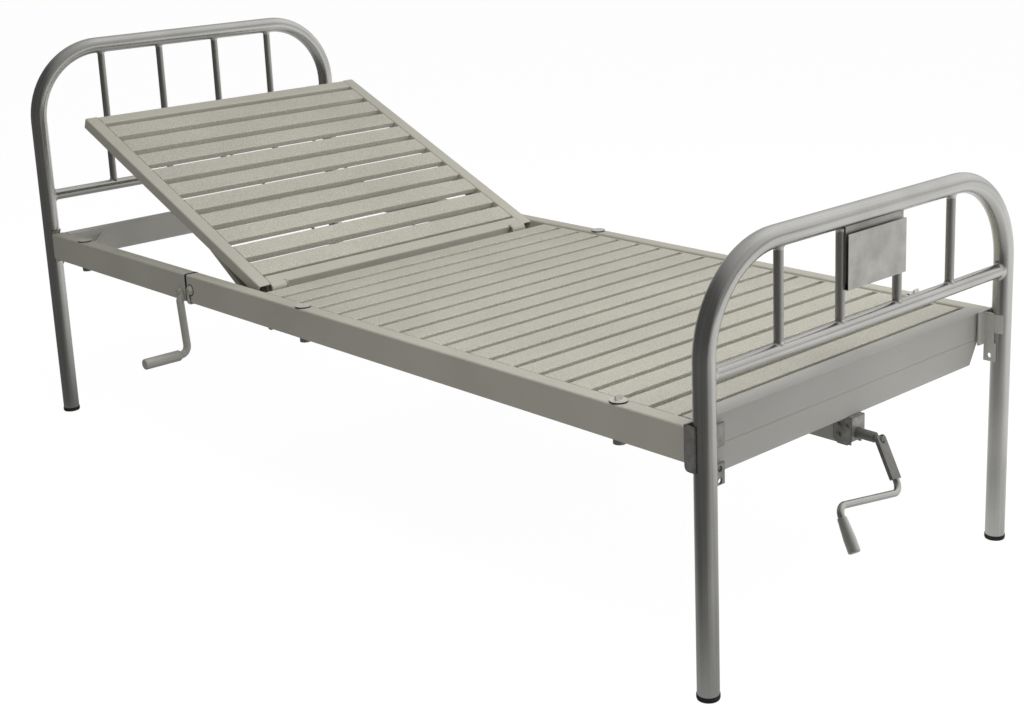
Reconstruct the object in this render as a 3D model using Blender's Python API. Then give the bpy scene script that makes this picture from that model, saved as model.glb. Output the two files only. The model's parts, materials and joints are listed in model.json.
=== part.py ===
"""Manual hospital bed: tube ends that are also the legs, a painted slatted frame and a cranked backrest.

Metres, +Z up, floor at z = 0. +X runs to the foot end and +Y to the patient's left as they lie.
The origin lies under the middle of the bed's outline, folding crank included.
"""

import math
from functools import partial

import bmesh
import bpy
from mathutils import Matrix, Vector

# Clearances
GAP = 0.0003  # between pieces that touch
RUN = 0.0003  # between a turning or sliding piece and what guides it

# Tube ends
LEG_SPACING = 2.050  # head legs to foot legs, centre to centre
LEG_GAUGE = 0.811  # near legs to far legs, centre to centre
TUBE_R = 0.018
TUBE_WALL = 0.0015
BEND_R = 0.162  # arch corners, to the tube's centreline
HEAD_HEIGHT = 0.866  # centreline of the head arch's top
FOOT_HEIGHT = 0.704
HEAD_MID_Z = 0.529
FOOT_MID_Z = 0.521
MID_R = 0.0125
BAR_R = 0.008
BAR_COUNT = 4
BAR_PITCH = 0.155
CAP_FLOOR = 0.006
CAP_HEIGHT = 0.016
CAP_WALL = 0.0015

# Chart pocket on the foot bars
POCKET_W = 0.157
POCKET_BOTTOM = 0.586
POCKET_LIP = 0.008  # how far the back sheet stands above the front one
POCKET_SLOT = 0.006
POCKET_SHEET = 0.0012

# Main frame
RAIL_TOP = 0.442
RAIL_H = 0.060
RAIL_W = 0.030
RAIL_WALL = 0.0015
RAIL_OUTSET = 0.011  # rail's outer face beyond the leg's centre
FOOT_BAR_W = 0.038
FOOT_BAR_H = 0.050
HEAD_BAR_W = 0.025
FOOT_BAR_SET = 0.003  # foot bar's front face behind the rails' ends
APRON_DROP = 0.044
APRON_SHEET = 0.002
APRON_INSET = 0.014  # apron's top corners from the rails' inner faces
APRON_SLANT = 0.026
APRON_LIP = 0.026

# Hook brackets between frame and legs
HOOK_SHEET = 0.004
HOOK_STANDOFF = 0.0015
HOOK_RISE = 0.007  # above the rail's top
HOOK_DROP = 0.007  # below the rail's underside
HOOK_FLANGE = 0.0185
HOOK_FLANGE_T = 0.003
HOOK_CORNER = 0.008
HOOK_STRIP = 0.045  # inner edge of the plate from the leg's centre
HOOK_TAIL_ROOT = 0.027
HOOK_TAB_W = 0.022
HOOK_TAB_H = 0.038
HOOK_TAB_DROP = 0.012  # tab's top below the rail's top
HOOK_TAIL_H = 0.036
HOOK_TAIL_DROP = 0.052
HOOK_HOLES = (0.0065, 0.026)  # above the tail's lower edge
HOOK_HOLE_R = 0.0045
HOOK_STUD_R = 0.005
HOOK_HEAD_W = 0.020  # the plain plate at the head legs
FAR_STRIP = 0.042  # the far plate's inner edge from the leg's centre
FAR_RISE = 0.003
FAR_LIP = 0.002
FAR_DROP = 0.032  # the far plate's tail below the rail's underside
FAR_HOLE = 0.011

# Rail joint with its lock lever
SPLIT_FROM_HEAD = 0.6155
SPLIT_GAP = 0.0024
SLEEVE_L = 0.160
SLEEVE_WALL = 0.002
SADDLE_L = 0.010
SADDLE_SHEET = 0.0025
SADDLE_EYE_R = 0.011
SADDLE_EYE_X = 0.012  # eye from the main rail's end
SADDLE_EYE_Z = 0.029  # eye above the rail's underside
PIN_R = 0.004
PIN_HEAD_R = 0.007
PIN_HEAD_T = 0.003
LEVER_SETBACK = 0.0265  # lever pin from the split
LEVER_EYE_R = 0.012
LEVER_EYE_T = 0.005
LEVER_ROD_R = 0.008
LEVER_STEP = 0.006  # rod's upright to the foot side of the pin
LEVER_ARM = 0.132
LEVER_BEND = 0.018
LEVER_OUT = 0.096  # rod's end from its own upright
LEVER_GRIP_R = 0.0115
LEVER_GRIP_L = 0.084
LEVER_LEAN = math.radians(7)

# Accessory sockets in the rails
SOCKET_FROM_HEAD = (0.153, 1.0185, 1.868)
SOCKET_R = 0.011
SOCKET_WALL = 0.002
SOCKET_DROP = 0.014
SOCKET_CAP_R = 0.017
SOCKET_CAP_T = 0.002
SOCKET_TAB_W = 0.014  # finger tab on the sockets at the foot
SOCKET_TAB_H = 0.009
SOCKET_TAB_T = 0.002

# Slatted deck
SHEET = 0.0015
DECK_DROP = 0.0033  # slat tops below the rail's top
SLAT_H = 0.020
DECK_SLATS = 18
DECK_GAP = 0.014
DECK_SETBACK = 0.036  # first slat from the hinge axis
DECK_EDGE = 0.005
RIB_T = 0.006
RIB_H = 0.022
RIB_Y = 0.130
WELD = 0.0008  # how far welded pieces run into each other

# Backrest
HINGE_FROM_HEAD = 0.8226
HINGE_Z = 0.434
REST_TILT = math.radians(23)
FULL_TILT = math.radians(75)
BACK_LENGTH = 0.7185
BACK_T = 0.025
BACK_TOP = 0.0095  # top surface above the hinge axis
BACK_BAR_W = 0.030
BACK_WALL = 0.0015
BACK_SIDE_GAP = 0.013
BACK_SLATS = 10
BACK_SLAT_W = 0.0465
BACK_FIRST_GAP = 0.008
BACK_LAST_GAP = 0.0135
BACK_SLAT_DROP = 0.0015
BACK_RIB_Y = 0.115
HINGE_SLEEVE_R = 0.011
HINGE_SLEEVE_L = 0.036
HINGE_SLEEVE_INSET = 0.0265  # sleeve's outer end from the backrest's side
HINGE_PIN_R = 0.007
HINGE_LUG_T = 0.003
HINGE_LUG_R = 0.0115
HINGE_LUG_WRAP = 235  # degrees of the lug's round end
HINGE_LUG_FOOT = 0.045

# Lever frame under the backrest
LEVER_R = 0.130  # hinge axis to drive pin
CROSS_R = 0.0125
CROSS_BACK = 0.0311  # cross tube towards the foot from the hinge, backrest flat
CROSS_DROP = 0.0672
CROSS_OVERHANG = 0.006
STRUT_TOP = 0.215  # along the backrest, from the hinge
STRUT_W = 0.022
STRUT_T = 0.006
STRUT_INSET = 0.021  # strut's middle from the backrest's side
LINK_TOP = 0.022
ARM_T = 0.010
ARM_R = 0.015
DRIVE_PIN_R = 0.006

# Screw drive
SCREW_R = 0.008
SHAFT_R = 0.009
SCREW_TIP_FROM_FOOT = 0.370
COLLAR_R = 0.0125
COLLAR_L = 0.014
NUT_SIDE = 0.024
NUT_L = 0.030
NUT_FROM_FOOT = 0.215
PUSH_R = 0.0105
PUSH_BORE_R = 0.0086
FORK_REACH = 0.050  # slot's middle to the fork's web
FORK_ARM_T = 0.006
FORK_WEB_T = 0.006
FORK_RIM = 0.006
FORK_NOSE = 0.010
FORK_PLAY = 0.0024  # each side of the drive arm
PIN_OVERHANG = 0.003  # drive pin beyond the fork
CHANNEL_W = 0.030
CHANNEL_SHEET = 0.002
CHANNEL_RISE = 0.024  # above the screw's axis
CHANNEL_DROP = 0.020
CHANNEL_L = 0.760
GUIDE_L = 0.030
DRIVE_SHEET = 0.003
DRIVE_L = 0.038
DRIVE_NOSE = 0.008  # bracket's front beyond the foot bar's
DRIVE_CHAMFER = 0.009
CROSSBAR_W = 0.040
CROSSBAR_H = 0.030
HANGER_W = 0.030

# Folding crank
CRANK_PIN_OUT = 0.026  # pin beyond the foot legs
CRANK_SPIN = math.radians(9.3)  # the screw's turn at rest, which lifts the grip's side
CRANK_TILT = math.radians(32.9)  # out from hanging straight
CRANK_W = 0.024
CRANK_T = 0.007
CRANK_TOP = 0.0065  # above the pin
CRANK_ARM = 0.0705
CRANK_SLOT = 0.010
CRANK_SLOT_DEPTH = 0.009
CRANK_PIN_R = 0.0024
TONGUE_REACH = 0.006  # shaft's tongue beyond the pin
ROD_R = 0.006
ROD_BEND = 0.018
ROD_DROP = 0.0923  # pin to the throw
ROD_THROW = 0.1715
SPIGOT_R = 0.0022  # rod's turned-down end in the arm
SPIGOT_L = 0.014
GRIP_START = ROD_BEND + GAP  # grip's mouth below the throw
GRIP_L = 0.058
GRIP_TAPER = 0.035
GRIP_TOP_R = 0.0078
GRIP_END_R = 0.0107
GRIP_END = 0.006
GRIP_ROUND = 0.003

# Worked-out places
GRIP_TIP = ROD_DROP + GRIP_START + GRIP_L
GRIP_REACH = (GRIP_TIP - GRIP_ROUND) * math.sin(CRANK_TILT) + GRIP_END_R * math.cos(CRANK_TILT)
CRANK_REACH = CRANK_PIN_OUT + GRIP_REACH  # outermost point from the foot legs
CAP_R = TUBE_R + GAP + CAP_WALL
HEAD_X = (CAP_R - LEG_SPACING - CRANK_REACH) / 2
FOOT_X = HEAD_X + LEG_SPACING
LEG_Y = LEG_GAUGE / 2
END_INSET = TUBE_R + HOOK_STANDOFF + HOOK_SHEET + GAP  # rails' end faces from the leg's centre
HEAD_END = HEAD_X + END_INSET
FOOT_END = FOOT_X - END_INSET
BAR_FRONT = FOOT_END - FOOT_BAR_SET
RAIL_OUT = LEG_Y + RAIL_OUTSET
RAIL_IN = RAIL_OUT - RAIL_W
RAIL_MID = (RAIL_OUT + RAIL_IN) / 2
RAIL_LOW = RAIL_TOP - RAIL_H
SPLIT_X = HEAD_X + SPLIT_FROM_HEAD
HINGE_X = HEAD_X + HINGE_FROM_HEAD
BACK_HALF = RAIL_IN - BACK_SIDE_GAP
DECK_TOP = RAIL_TOP - DECK_DROP
DECK_LOW = DECK_TOP - SLAT_H
RIB_LOW = DECK_LOW + WELD - RIB_H
SWING = FULL_TILT / 2  # the drive pin swings as far to either side of straight down
SCREW_Z = HINGE_Z - LEVER_R * (1 + math.cos(SWING)) / 2
TRAVEL_PER_RAD = 2 * LEVER_R * math.sin(SWING) / FULL_TILT
SLOT_X = HINGE_X + LEVER_R * math.sin(SWING) - TRAVEL_PER_RAD * REST_TILT
DRIVE_FRONT = BAR_FRONT + DRIVE_NOSE
CRANK_PIN_X = FOOT_X + CRANK_PIN_OUT
NUT_X = FOOT_X - NUT_FROM_FOOT
SLEEVE_OUT = BACK_HALF - HINGE_SLEEVE_INSET
SLEEVE_IN = SLEEVE_OUT - HINGE_SLEEVE_L

SIDES = {"near": -1, "far": 1}
ROUND = 16
SMALL_ROUND = 12
SHARP = math.radians(35)  # edges at or over this stay sharp


# Meshes


def add_box(bm, low, high):
    centre = (Vector(low) + Vector(high)) / 2
    size = Vector(high) - Vector(low)
    scale = Matrix.Diagonal((abs(size.x), abs(size.y), abs(size.z), 1))
    bmesh.ops.create_cube(bm, size=1, matrix=Matrix.Translation(centre) @ scale)


def add_prism(bm, outline, axis, low, high):
    """Extrudes an outline along X, Y or Z. Its points give the other two coordinates in that order."""
    index = "XYZ".index(axis)
    rings = []
    for level in (low, high):
        ring = []
        for point in outline:
            place = list(point)
            place.insert(index, level)
            ring.append(bm.verts.new(place))
        rings.append(ring)
    bridge(bm, rings)
    bm.faces.new(rings[0])
    bm.faces.new(rings[1])
    bmesh.ops.recalc_face_normals(bm, faces=bm.faces)


def bridge(bm, rings, closed=False):
    """Joins each ring of points to the next with four-sided faces."""
    following = rings[1:] + rings[:1] if closed else rings[1:]
    for first, second in zip(rings, following):
        for i in range(len(first)):
            j = (i + 1) % len(first)
            bm.faces.new((first[i], first[j], second[j], second[i]))


def add_tube(bm, path, radius, bore=0.0, sides=ROUND):
    """A round bar along a path, or a tube with open ends where it has a bore."""
    path = [Vector(point) for point in path]
    steps = [(b - a).normalized() for a, b in zip(path, path[1:])]
    tangents = [steps[0]] + [(a + b).normalized() for a, b in zip(steps, steps[1:])] + [steps[-1]]
    across = Vector((0, 1, 0)) if abs(tangents[0].x) > 0.5 else Vector((1, 0, 0))
    outer, inner = [], []
    for place, tangent in zip(path, tangents):
        across = (across - across.dot(tangent) * tangent).normalized()
        up = tangent.cross(across)
        for ring, reach in ((outer, radius), (inner, bore)):
            if reach:
                turns = [2 * math.pi * i / sides for i in range(sides)]
                points = [place + reach * (math.cos(t) * across + math.sin(t) * up) for t in turns]
                ring.append([bm.verts.new(point) for point in points])
    if inner:
        bridge(bm, outer + inner[::-1], closed=True)
    else:
        bridge(bm, outer)
        bm.faces.new(outer[0])
        bm.faces.new(outer[-1])
    bmesh.ops.recalc_face_normals(bm, faces=bm.faces)


def add_turned(bm, profile, place, axis, sides=ROUND):
    """Turns a closed loop of (radius, along) points round an axis. One of no radius lies on the axis."""
    along = Vector(axis).normalized()
    across = Vector((0, 1, 0)) if abs(along.x) > 0.5 else Vector((1, 0, 0))
    up = along.cross(across)
    turns = [2 * math.pi * i / sides for i in range(sides)]
    rings = []
    for radius, distance in profile:
        centre = Vector(place) + distance * along
        points = [centre]
        if radius:
            points = [centre + radius * (math.cos(t) * across + math.sin(t) * up) for t in turns]
        rings.append([bm.verts.new(point) for point in points])
    for first, second in zip(rings, rings[1:] + rings[:1]):
        if len(first) == len(second) == 1:
            continue
        for i in range(sides):
            pairs = [(first, i), (first, i + 1), (second, i + 1), (second, i)]
            corners = [ring[step % len(ring)] for ring, step in pairs]
            bm.faces.new(list(dict.fromkeys(corners)))
    bmesh.ops.recalc_face_normals(bm, faces=bm.faces)


def rounded(points, radius, steps=6):
    """A path through corner points, with each inner corner turned into an arc."""
    points = [Vector(point) for point in points]
    path = [points[0]]
    for before, corner, after in zip(points, points[1:], points[2:]):
        into = (corner - before).normalized()
        out = (after - corner).normalized()
        angle = into.angle(out)
        reach = radius * math.tan(angle / 2)
        start = corner - reach * into
        sideways = (out - out.dot(into) * into).normalized()
        centre = start + radius * sideways
        for i in range(steps + 1):
            turn = angle * i / steps
            path.append(centre + radius * (into * math.sin(turn) - sideways * math.cos(turn)))
    return path + [points[-1]]


def arc(centre, radius, start, end, steps):
    """Points of an arc in a plane, angles in degrees."""
    angles = [math.radians(start + (end - start) * i / steps) for i in range(steps + 1)]
    return [(centre[0] + radius * math.cos(a), centre[1] + radius * math.sin(a)) for a in angles]


def capsule(first, second, radius, steps=6):
    """An outline with round ends about two points."""
    heading = math.degrees(math.atan2(second[1] - first[1], second[0] - first[0]))
    front = arc(second, radius, heading - 90, heading + 90, steps)
    return front + arc(first, radius, heading + 90, heading + 270, steps)


# Objects


def material(name, colour, roughness, metallic):
    made = bpy.data.materials.new(name)
    made.use_nodes = True
    shader = made.node_tree.nodes["Principled BSDF"]
    shader.inputs["Base Color"].default_value = (*colour, 1)
    shader.inputs["Roughness"].default_value = roughness
    shader.inputs["Metallic"].default_value = metallic
    return made


def shape(name, build, finish=None, parent=None):
    """An object whose mesh is filled by build(bm), in its parent's own axes."""
    bm = bmesh.new()
    build(bm)
    mesh = bpy.data.meshes.new(name)
    bm.to_mesh(mesh)
    bm.free()
    made = bpy.data.objects.new(name, mesh)
    bpy.context.scene.collection.objects.link(made)
    made.parent = parent
    if finish:
        mesh.materials.append(finish)
    return made


def combine(target, build, operation):
    """Joins a shape to the target, or cuts it away, and keeps the result as the target's mesh."""
    other = shape("tool", build, parent=target.parent)
    modifier = target.modifiers.new("combine", "BOOLEAN")
    modifier.operation = operation
    modifier.solver = "EXACT"
    modifier.object = other
    graph = bpy.context.evaluated_depsgraph_get()
    mesh = bpy.data.meshes.new_from_object(target.evaluated_get(graph))
    target.modifiers.clear()
    old = target.data
    target.data = mesh
    bpy.data.objects.remove(other)
    bpy.data.meshes.remove(old)


def fuse(target, build):
    combine(target, build, "UNION")


def cut(target, build):
    combine(target, build, "DIFFERENCE")


def pivot(name, place, parent=None, turn=0.0, roll=0.0):
    """An empty on a joint's axis, rolled about X and turned about Y to the pose at rest."""
    made = bpy.data.objects.new(name, None)
    bpy.context.scene.collection.objects.link(made)
    made.parent = parent
    made.location = place
    made.rotation_euler = (roll, turn, 0)
    return made


def smooth_all():
    for made in bpy.context.scene.objects:
        if made.type == "MESH":
            made.data.shade_smooth()
            made.data.set_sharp_from_angle(angle=SHARP)


# Tube ends


def make_arch(name, x, height, steel):
    base = CAP_FLOOR + GAP
    corners = [(x, -LEG_Y, base), (x, -LEG_Y, height), (x, LEG_Y, height), (x, LEG_Y, base)]
    path = rounded(corners, BEND_R)
    return shape(name, lambda bm: add_tube(bm, path, TUBE_R, TUBE_R - TUBE_WALL), steel)


def make_mid_rail(name, x, z, steel):
    """A tube between two legs, with its ends shaped to them."""
    ends = [(x, -LEG_Y, z), (x, LEG_Y, z)]
    rail = shape(name, lambda bm: add_tube(bm, ends, MID_R, MID_R - TUBE_WALL), steel)
    for side in SIDES.values():
        leg = [(x, side * LEG_Y, z - 2 * TUBE_R), (x, side * LEG_Y, z + 2 * TUBE_R)]
        cut(rail, lambda bm: add_tube(bm, leg, TUBE_R + GAP))


def make_bars(prefix, x, low_z, high_z, steel):
    """Upright bars between the mid rail and the arch, with their ends shaped to both."""
    for i in range(BAR_COUNT):
        y = BAR_PITCH * (i - (BAR_COUNT - 1) / 2)
        ends = [(x, y, low_z), (x, y, high_z)]
        tube = partial(add_tube, path=ends, radius=BAR_R, bore=BAR_R - TUBE_WALL, sides=SMALL_ROUND)
        bar = shape(f"{prefix}_{i + 1}", tube, steel)
        for z, radius in ((low_z, MID_R), (high_z, TUBE_R)):
            across = [(x, y - 2 * BAR_R, z), (x, y + 2 * BAR_R, z)]
            cut(bar, lambda bm: add_tube(bm, across, radius + GAP))


def make_foot_cap(name, x, y, rubber):
    inner = CAP_R - CAP_WALL
    profile = [
        (0, 0),
        (inner, 0),
        (CAP_R, CAP_WALL),
        (CAP_R, CAP_HEIGHT),
        (inner, CAP_HEIGHT),
        (inner, CAP_FLOOR),
        (0, CAP_FLOOR),
    ]
    shape(name, lambda bm: add_turned(bm, profile, (x, y, 0), (0, 0, 1)), rubber)


def make_chart_pocket(steel):
    """A folded pocket on the two middle foot bars, open at the top and the sides' upper corners."""
    back = FOOT_X + BAR_R + GAP
    front = back + 2 * POCKET_SHEET + POCKET_SLOT
    top = FOOT_HEIGHT - TUBE_R - GAP
    outline = [
        (back, POCKET_BOTTOM),
        (front, POCKET_BOTTOM),
        (front, top - POCKET_LIP),
        (front - POCKET_SHEET, top - POCKET_LIP),
        (front - POCKET_SHEET, POCKET_BOTTOM + POCKET_SHEET),
        (back + POCKET_SHEET, POCKET_BOTTOM + POCKET_SHEET),
        (back + POCKET_SHEET, top),
        (back, top),
    ]
    shape("chart_pocket", lambda bm: add_prism(bm, outline, "Y", -POCKET_W / 2, POCKET_W / 2), steel)


# Painted frame


def add_rail(bm, low_x, high_x, side):
    """A rectangular tube along X, open at both ends."""
    y_out, y_in = side * RAIL_OUT, side * RAIL_IN
    wall = side * RAIL_WALL
    outer = [(y_out, RAIL_LOW), (y_out, RAIL_TOP), (y_in, RAIL_TOP), (y_in, RAIL_LOW)]
    inner = [
        (y_out - wall, RAIL_LOW + RAIL_WALL),
        (y_out - wall, RAIL_TOP - RAIL_WALL),
        (y_in + wall, RAIL_TOP - RAIL_WALL),
        (y_in + wall, RAIL_LOW + RAIL_WALL),
    ]
    loops = [(low_x, outer), (high_x, outer), (high_x, inner), (low_x, inner)]
    rings = [[bm.verts.new((x, *point)) for point in outline] for x, outline in loops]
    bridge(bm, rings, closed=True)
    bmesh.ops.recalc_face_normals(bm, faces=bm.faces)


def add_cross_tube(bm, low, high, wall):
    """A rectangular tube along Y between two opposite corners, open at both ends."""
    (x0, y0, z0), (x1, y1, z1) = low, high
    outer = [(x0, z0), (x1, z0), (x1, z1), (x0, z1)]
    inner = [(x0 + wall, z0 + wall), (x1 - wall, z0 + wall), (x1 - wall, z1 - wall), (x0 + wall, z1 - wall)]
    loops = [(y0, outer), (y1, outer), (y1, inner), (y0, inner)]
    rings = [[bm.verts.new((px, y, pz)) for px, pz in outline] for y, outline in loops]
    bridge(bm, rings, closed=True)
    bmesh.ops.recalc_face_normals(bm, faces=bm.faces)


def make_rails(paint):
    for word, side in SIDES.items():
        spans = {
            f"head_rail_{word}": (HEAD_END, SPLIT_X - SPLIT_GAP / 2),
            f"main_rail_{word}": (SPLIT_X + SPLIT_GAP / 2, FOOT_END),
        }
        for name, (low_x, high_x) in spans.items():
            rail = shape(name, lambda bm: add_rail(bm, low_x, high_x, side), paint)
            for distance in SOCKET_FROM_HEAD:
                x = HEAD_X + distance
                if low_x < x < high_x:
                    ends = [(x, side * RAIL_MID, z) for z in (RAIL_LOW - RAIL_W, RAIL_TOP + RAIL_W)]
                    cut(rail, lambda bm: add_tube(bm, ends, SOCKET_R + GAP, sides=SMALL_ROUND))


def make_end_bars(paint):
    half = RAIL_IN - GAP
    low = (HEAD_END, -half, RAIL_LOW)
    high = (HEAD_END + HEAD_BAR_W, half, RAIL_TOP)
    shape("head_end_bar", lambda bm: add_cross_tube(bm, low, high, RAIL_WALL), paint)
    foot_low = (BAR_FRONT - FOOT_BAR_W, -half, RAIL_TOP - FOOT_BAR_H)
    foot_high = (BAR_FRONT, half, RAIL_TOP)
    shape("foot_end_bar", lambda bm: add_cross_tube(bm, foot_low, foot_high, RAIL_WALL), paint)


def make_apron(paint):
    """A folded sheet under the foot bar, with slanted ends and a lip along its lower edge."""
    top = RAIL_TOP - FOOT_BAR_H - GAP
    low = top - APRON_DROP
    half = RAIL_IN - APRON_INSET
    face = [(-half, top), (half, top), (half - APRON_SLANT, low), (-half + APRON_SLANT, low)]
    apron = shape("apron", lambda bm: add_prism(bm, face, "X", BAR_FRONT - APRON_SHEET, BAR_FRONT), paint)
    short = half - APRON_SLANT - APRON_SHEET
    lip_low = (BAR_FRONT - APRON_LIP, -short, low)
    lip_high = (BAR_FRONT - APRON_SHEET / 2, short, low + APRON_SHEET)
    fuse(apron, lambda bm: add_box(bm, lip_low, lip_high))


def add_studs(bracket, leg_x, inward, y, heights):
    """Short studs from a bracket's plate to the leg. inward is the X direction from leg to bed."""
    for z in heights:
        ends = [leg_x + inward * (TUBE_R + GAP), leg_x + inward * (TUBE_R + HOOK_STANDOFF + WELD)]
        stud = [(x, y, z) for x in ends]
        fuse(bracket, lambda bm: add_tube(bm, stud, HOOK_STUD_R, sides=SMALL_ROUND))


def make_head_plate(name, side, steel):
    """The plain plate between a head leg and the rail's end, with studs above and below the rail."""
    start = HEAD_X + TUBE_R + HOOK_STANDOFF
    y = side * LEG_Y
    low, top = RAIL_LOW - HOOK_DROP, RAIL_TOP + HOOK_RISE
    low_corner = (start, y - HOOK_HEAD_W / 2, low)
    high_corner = (start + HOOK_SHEET, y + HOOK_HEAD_W / 2, top)
    plate = shape(name, lambda bm: add_box(bm, low_corner, high_corner), steel)
    add_studs(plate, HEAD_X, 1, y, (low + HOOK_STUD_R, top - HOOK_STUD_R))


def make_near_hook(name, steel):
    """The folded plate at the near foot leg: an outer flange, an inner tab and a tail with two holes."""
    front = FOOT_X - TUBE_R - HOOK_STANDOFF
    back = front - HOOK_SHEET
    top, low = RAIL_TOP + HOOK_RISE, RAIL_LOW - HOOK_DROP
    outer = LEG_Y + TUBE_R + GAP + HOOK_FLANGE_T
    strip = LEG_Y - HOOK_STRIP
    tail_root = LEG_Y - HOOK_TAIL_ROOT
    tab = strip - HOOK_TAB_W
    tab_high = RAIL_TOP - HOOK_TAB_DROP
    tail_low = RAIL_LOW - HOOK_TAIL_DROP
    tail_high = tail_low + HOOK_TAIL_H
    outline = [
        (WELD - outer, top),
        (-strip, top),
        (-strip, tab_high),
        (-tab, tab_high),
        (-tab, tab_high - HOOK_TAB_H),
        (-strip, tab_high - HOOK_TAB_H),
        (-strip, tail_high),
        (-tab, tail_high),
        (-tab, tail_low),
        (-tail_root, tail_low),
        (-tail_root, low + HOOK_CORNER),
        (WELD - outer, low + HOOK_CORNER),
    ]
    hook = shape(name, lambda bm: add_prism(bm, outline, "X", back, front), steel)
    add_studs(hook, FOOT_X, -1, -LEG_Y, (RAIL_LOW + RAIL_H / 4, RAIL_TOP - RAIL_H / 4))
    root = back + WELD
    corner = arc((root + HOOK_CORNER, low + HOOK_CORNER), HOOK_CORNER, 180, 270, 6)
    lip = front + HOOK_FLANGE
    flange = [(lip, low), (lip, top - WELD), (root, top - WELD)] + corner
    fuse(hook, lambda bm: add_prism(bm, flange, "Y", -outer, HOOK_FLANGE_T - outer))
    for rise in HOOK_HOLES:
        ends = [(x, -(tab + strip) / 2, tail_low + rise) for x in (back - HOOK_SHEET, front + HOOK_SHEET)]
        cut(hook, lambda bm: add_tube(bm, ends, HOOK_HOLE_R, sides=SMALL_ROUND))


def make_far_plate(name, steel):
    """The folded plate at the far foot leg, with a side plate along the leg's inner face."""
    front = FOOT_X - TUBE_R - HOOK_STANDOFF
    back = front - HOOK_SHEET
    low_corner = (back, LEG_Y - FAR_STRIP, RAIL_LOW)
    high_corner = (front, LEG_Y + RAIL_OUTSET, RAIL_TOP + FAR_RISE)
    plate = shape(name, lambda bm: add_box(bm, low_corner, high_corner), steel)
    add_studs(plate, FOOT_X, -1, LEG_Y, (RAIL_LOW + RAIL_H / 4, RAIL_TOP - RAIL_H / 4))
    root = back + WELD
    lip = FOOT_X - FAR_LIP
    tail = FOOT_X + FAR_LIP
    low = RAIL_LOW - FAR_DROP
    step = RAIL_LOW + FAR_RISE
    top = RAIL_TOP - WELD
    outline = [(root, low), (tail, low), (tail, step), (lip, step), (lip, top), (root, top)]
    face = LEG_Y - TUBE_R - GAP
    fuse(plate, lambda bm: add_prism(bm, outline, "Y", face - HOOK_FLANGE_T, face))
    hole_x = (root + tail) / 2
    ends = [(hole_x, y, low + FAR_HOLE) for y in (face - 2 * HOOK_FLANGE_T, face + HOOK_FLANGE_T)]
    cut(plate, lambda bm: add_tube(bm, ends, HOOK_HOLE_R, sides=SMALL_ROUND))


# Rail joints


def make_splice(word, side, steel):
    """An inner sleeve across the split and a saddle strap round the main rail's end."""
    room = RAIL_WALL + GAP
    y_out, y_in = side * (RAIL_OUT - room), side * (RAIL_IN + room)
    z0, z1 = RAIL_LOW + room, RAIL_TOP - room
    wall = side * SLEEVE_WALL
    outer = [(y_out, z0), (y_out, z1), (y_in, z1), (y_in, z0)]
    inner = [
        (y_out - wall, z0 + SLEEVE_WALL),
        (y_out - wall, z1 - SLEEVE_WALL),
        (y_in + wall, z1 - SLEEVE_WALL),
        (y_in + wall, z0 + SLEEVE_WALL),
    ]

    def build(bm):
        ends = (SPLIT_X - SLEEVE_L / 2, SPLIT_X + SLEEVE_L / 2)
        loops = [(ends[0], outer), (ends[1], outer), (ends[1], inner), (ends[0], inner)]
        bridge(bm, [[bm.verts.new((x, *point)) for point in outline] for x, outline in loops], closed=True)
        bmesh.ops.recalc_face_normals(bm, faces=bm.faces)

    shape(f"splice_sleeve_{word}", build, steel)
    skin_out, skin_in = side * (RAIL_OUT + GAP), side * (RAIL_IN - GAP)
    sheet = side * SADDLE_SHEET
    under = RAIL_LOW - GAP
    rise = RAIL_LOW + SADDLE_EYE_Z
    strap = [
        (skin_out, rise),
        (skin_out + sheet, rise),
        (skin_out + sheet, under),
        (skin_out, under - SADDLE_SHEET),
        (skin_in, under - SADDLE_SHEET),
        (skin_in - sheet, under),
        (skin_in - sheet, rise),
        (skin_in, rise),
        (skin_in, under),
        (skin_out, under),
    ]
    start = SPLIT_X + SPLIT_GAP / 2
    band = partial(add_prism, outline=strap, axis="X", low=start, high=start + SADDLE_L)
    saddle = shape(f"splice_saddle_{word}", band, steel)
    eye_x = start + SADDLE_EYE_X
    for face, away in ((skin_out, side), (skin_in, -side)):
        eye = [(eye_x, face, rise), (eye_x, face + away * (SADDLE_SHEET - WELD / 2), rise)]
        fuse(saddle, lambda bm: add_tube(bm, eye, SADDLE_EYE_R))
    boss_root = skin_out + side * (SADDLE_SHEET - WELD)
    boss = [(eye_x, boss_root, rise), (eye_x, boss_root + side * (PIN_HEAD_T + WELD), rise)]
    fuse(saddle, lambda bm: add_tube(bm, boss, PIN_HEAD_R, sides=SMALL_ROUND))


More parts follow.
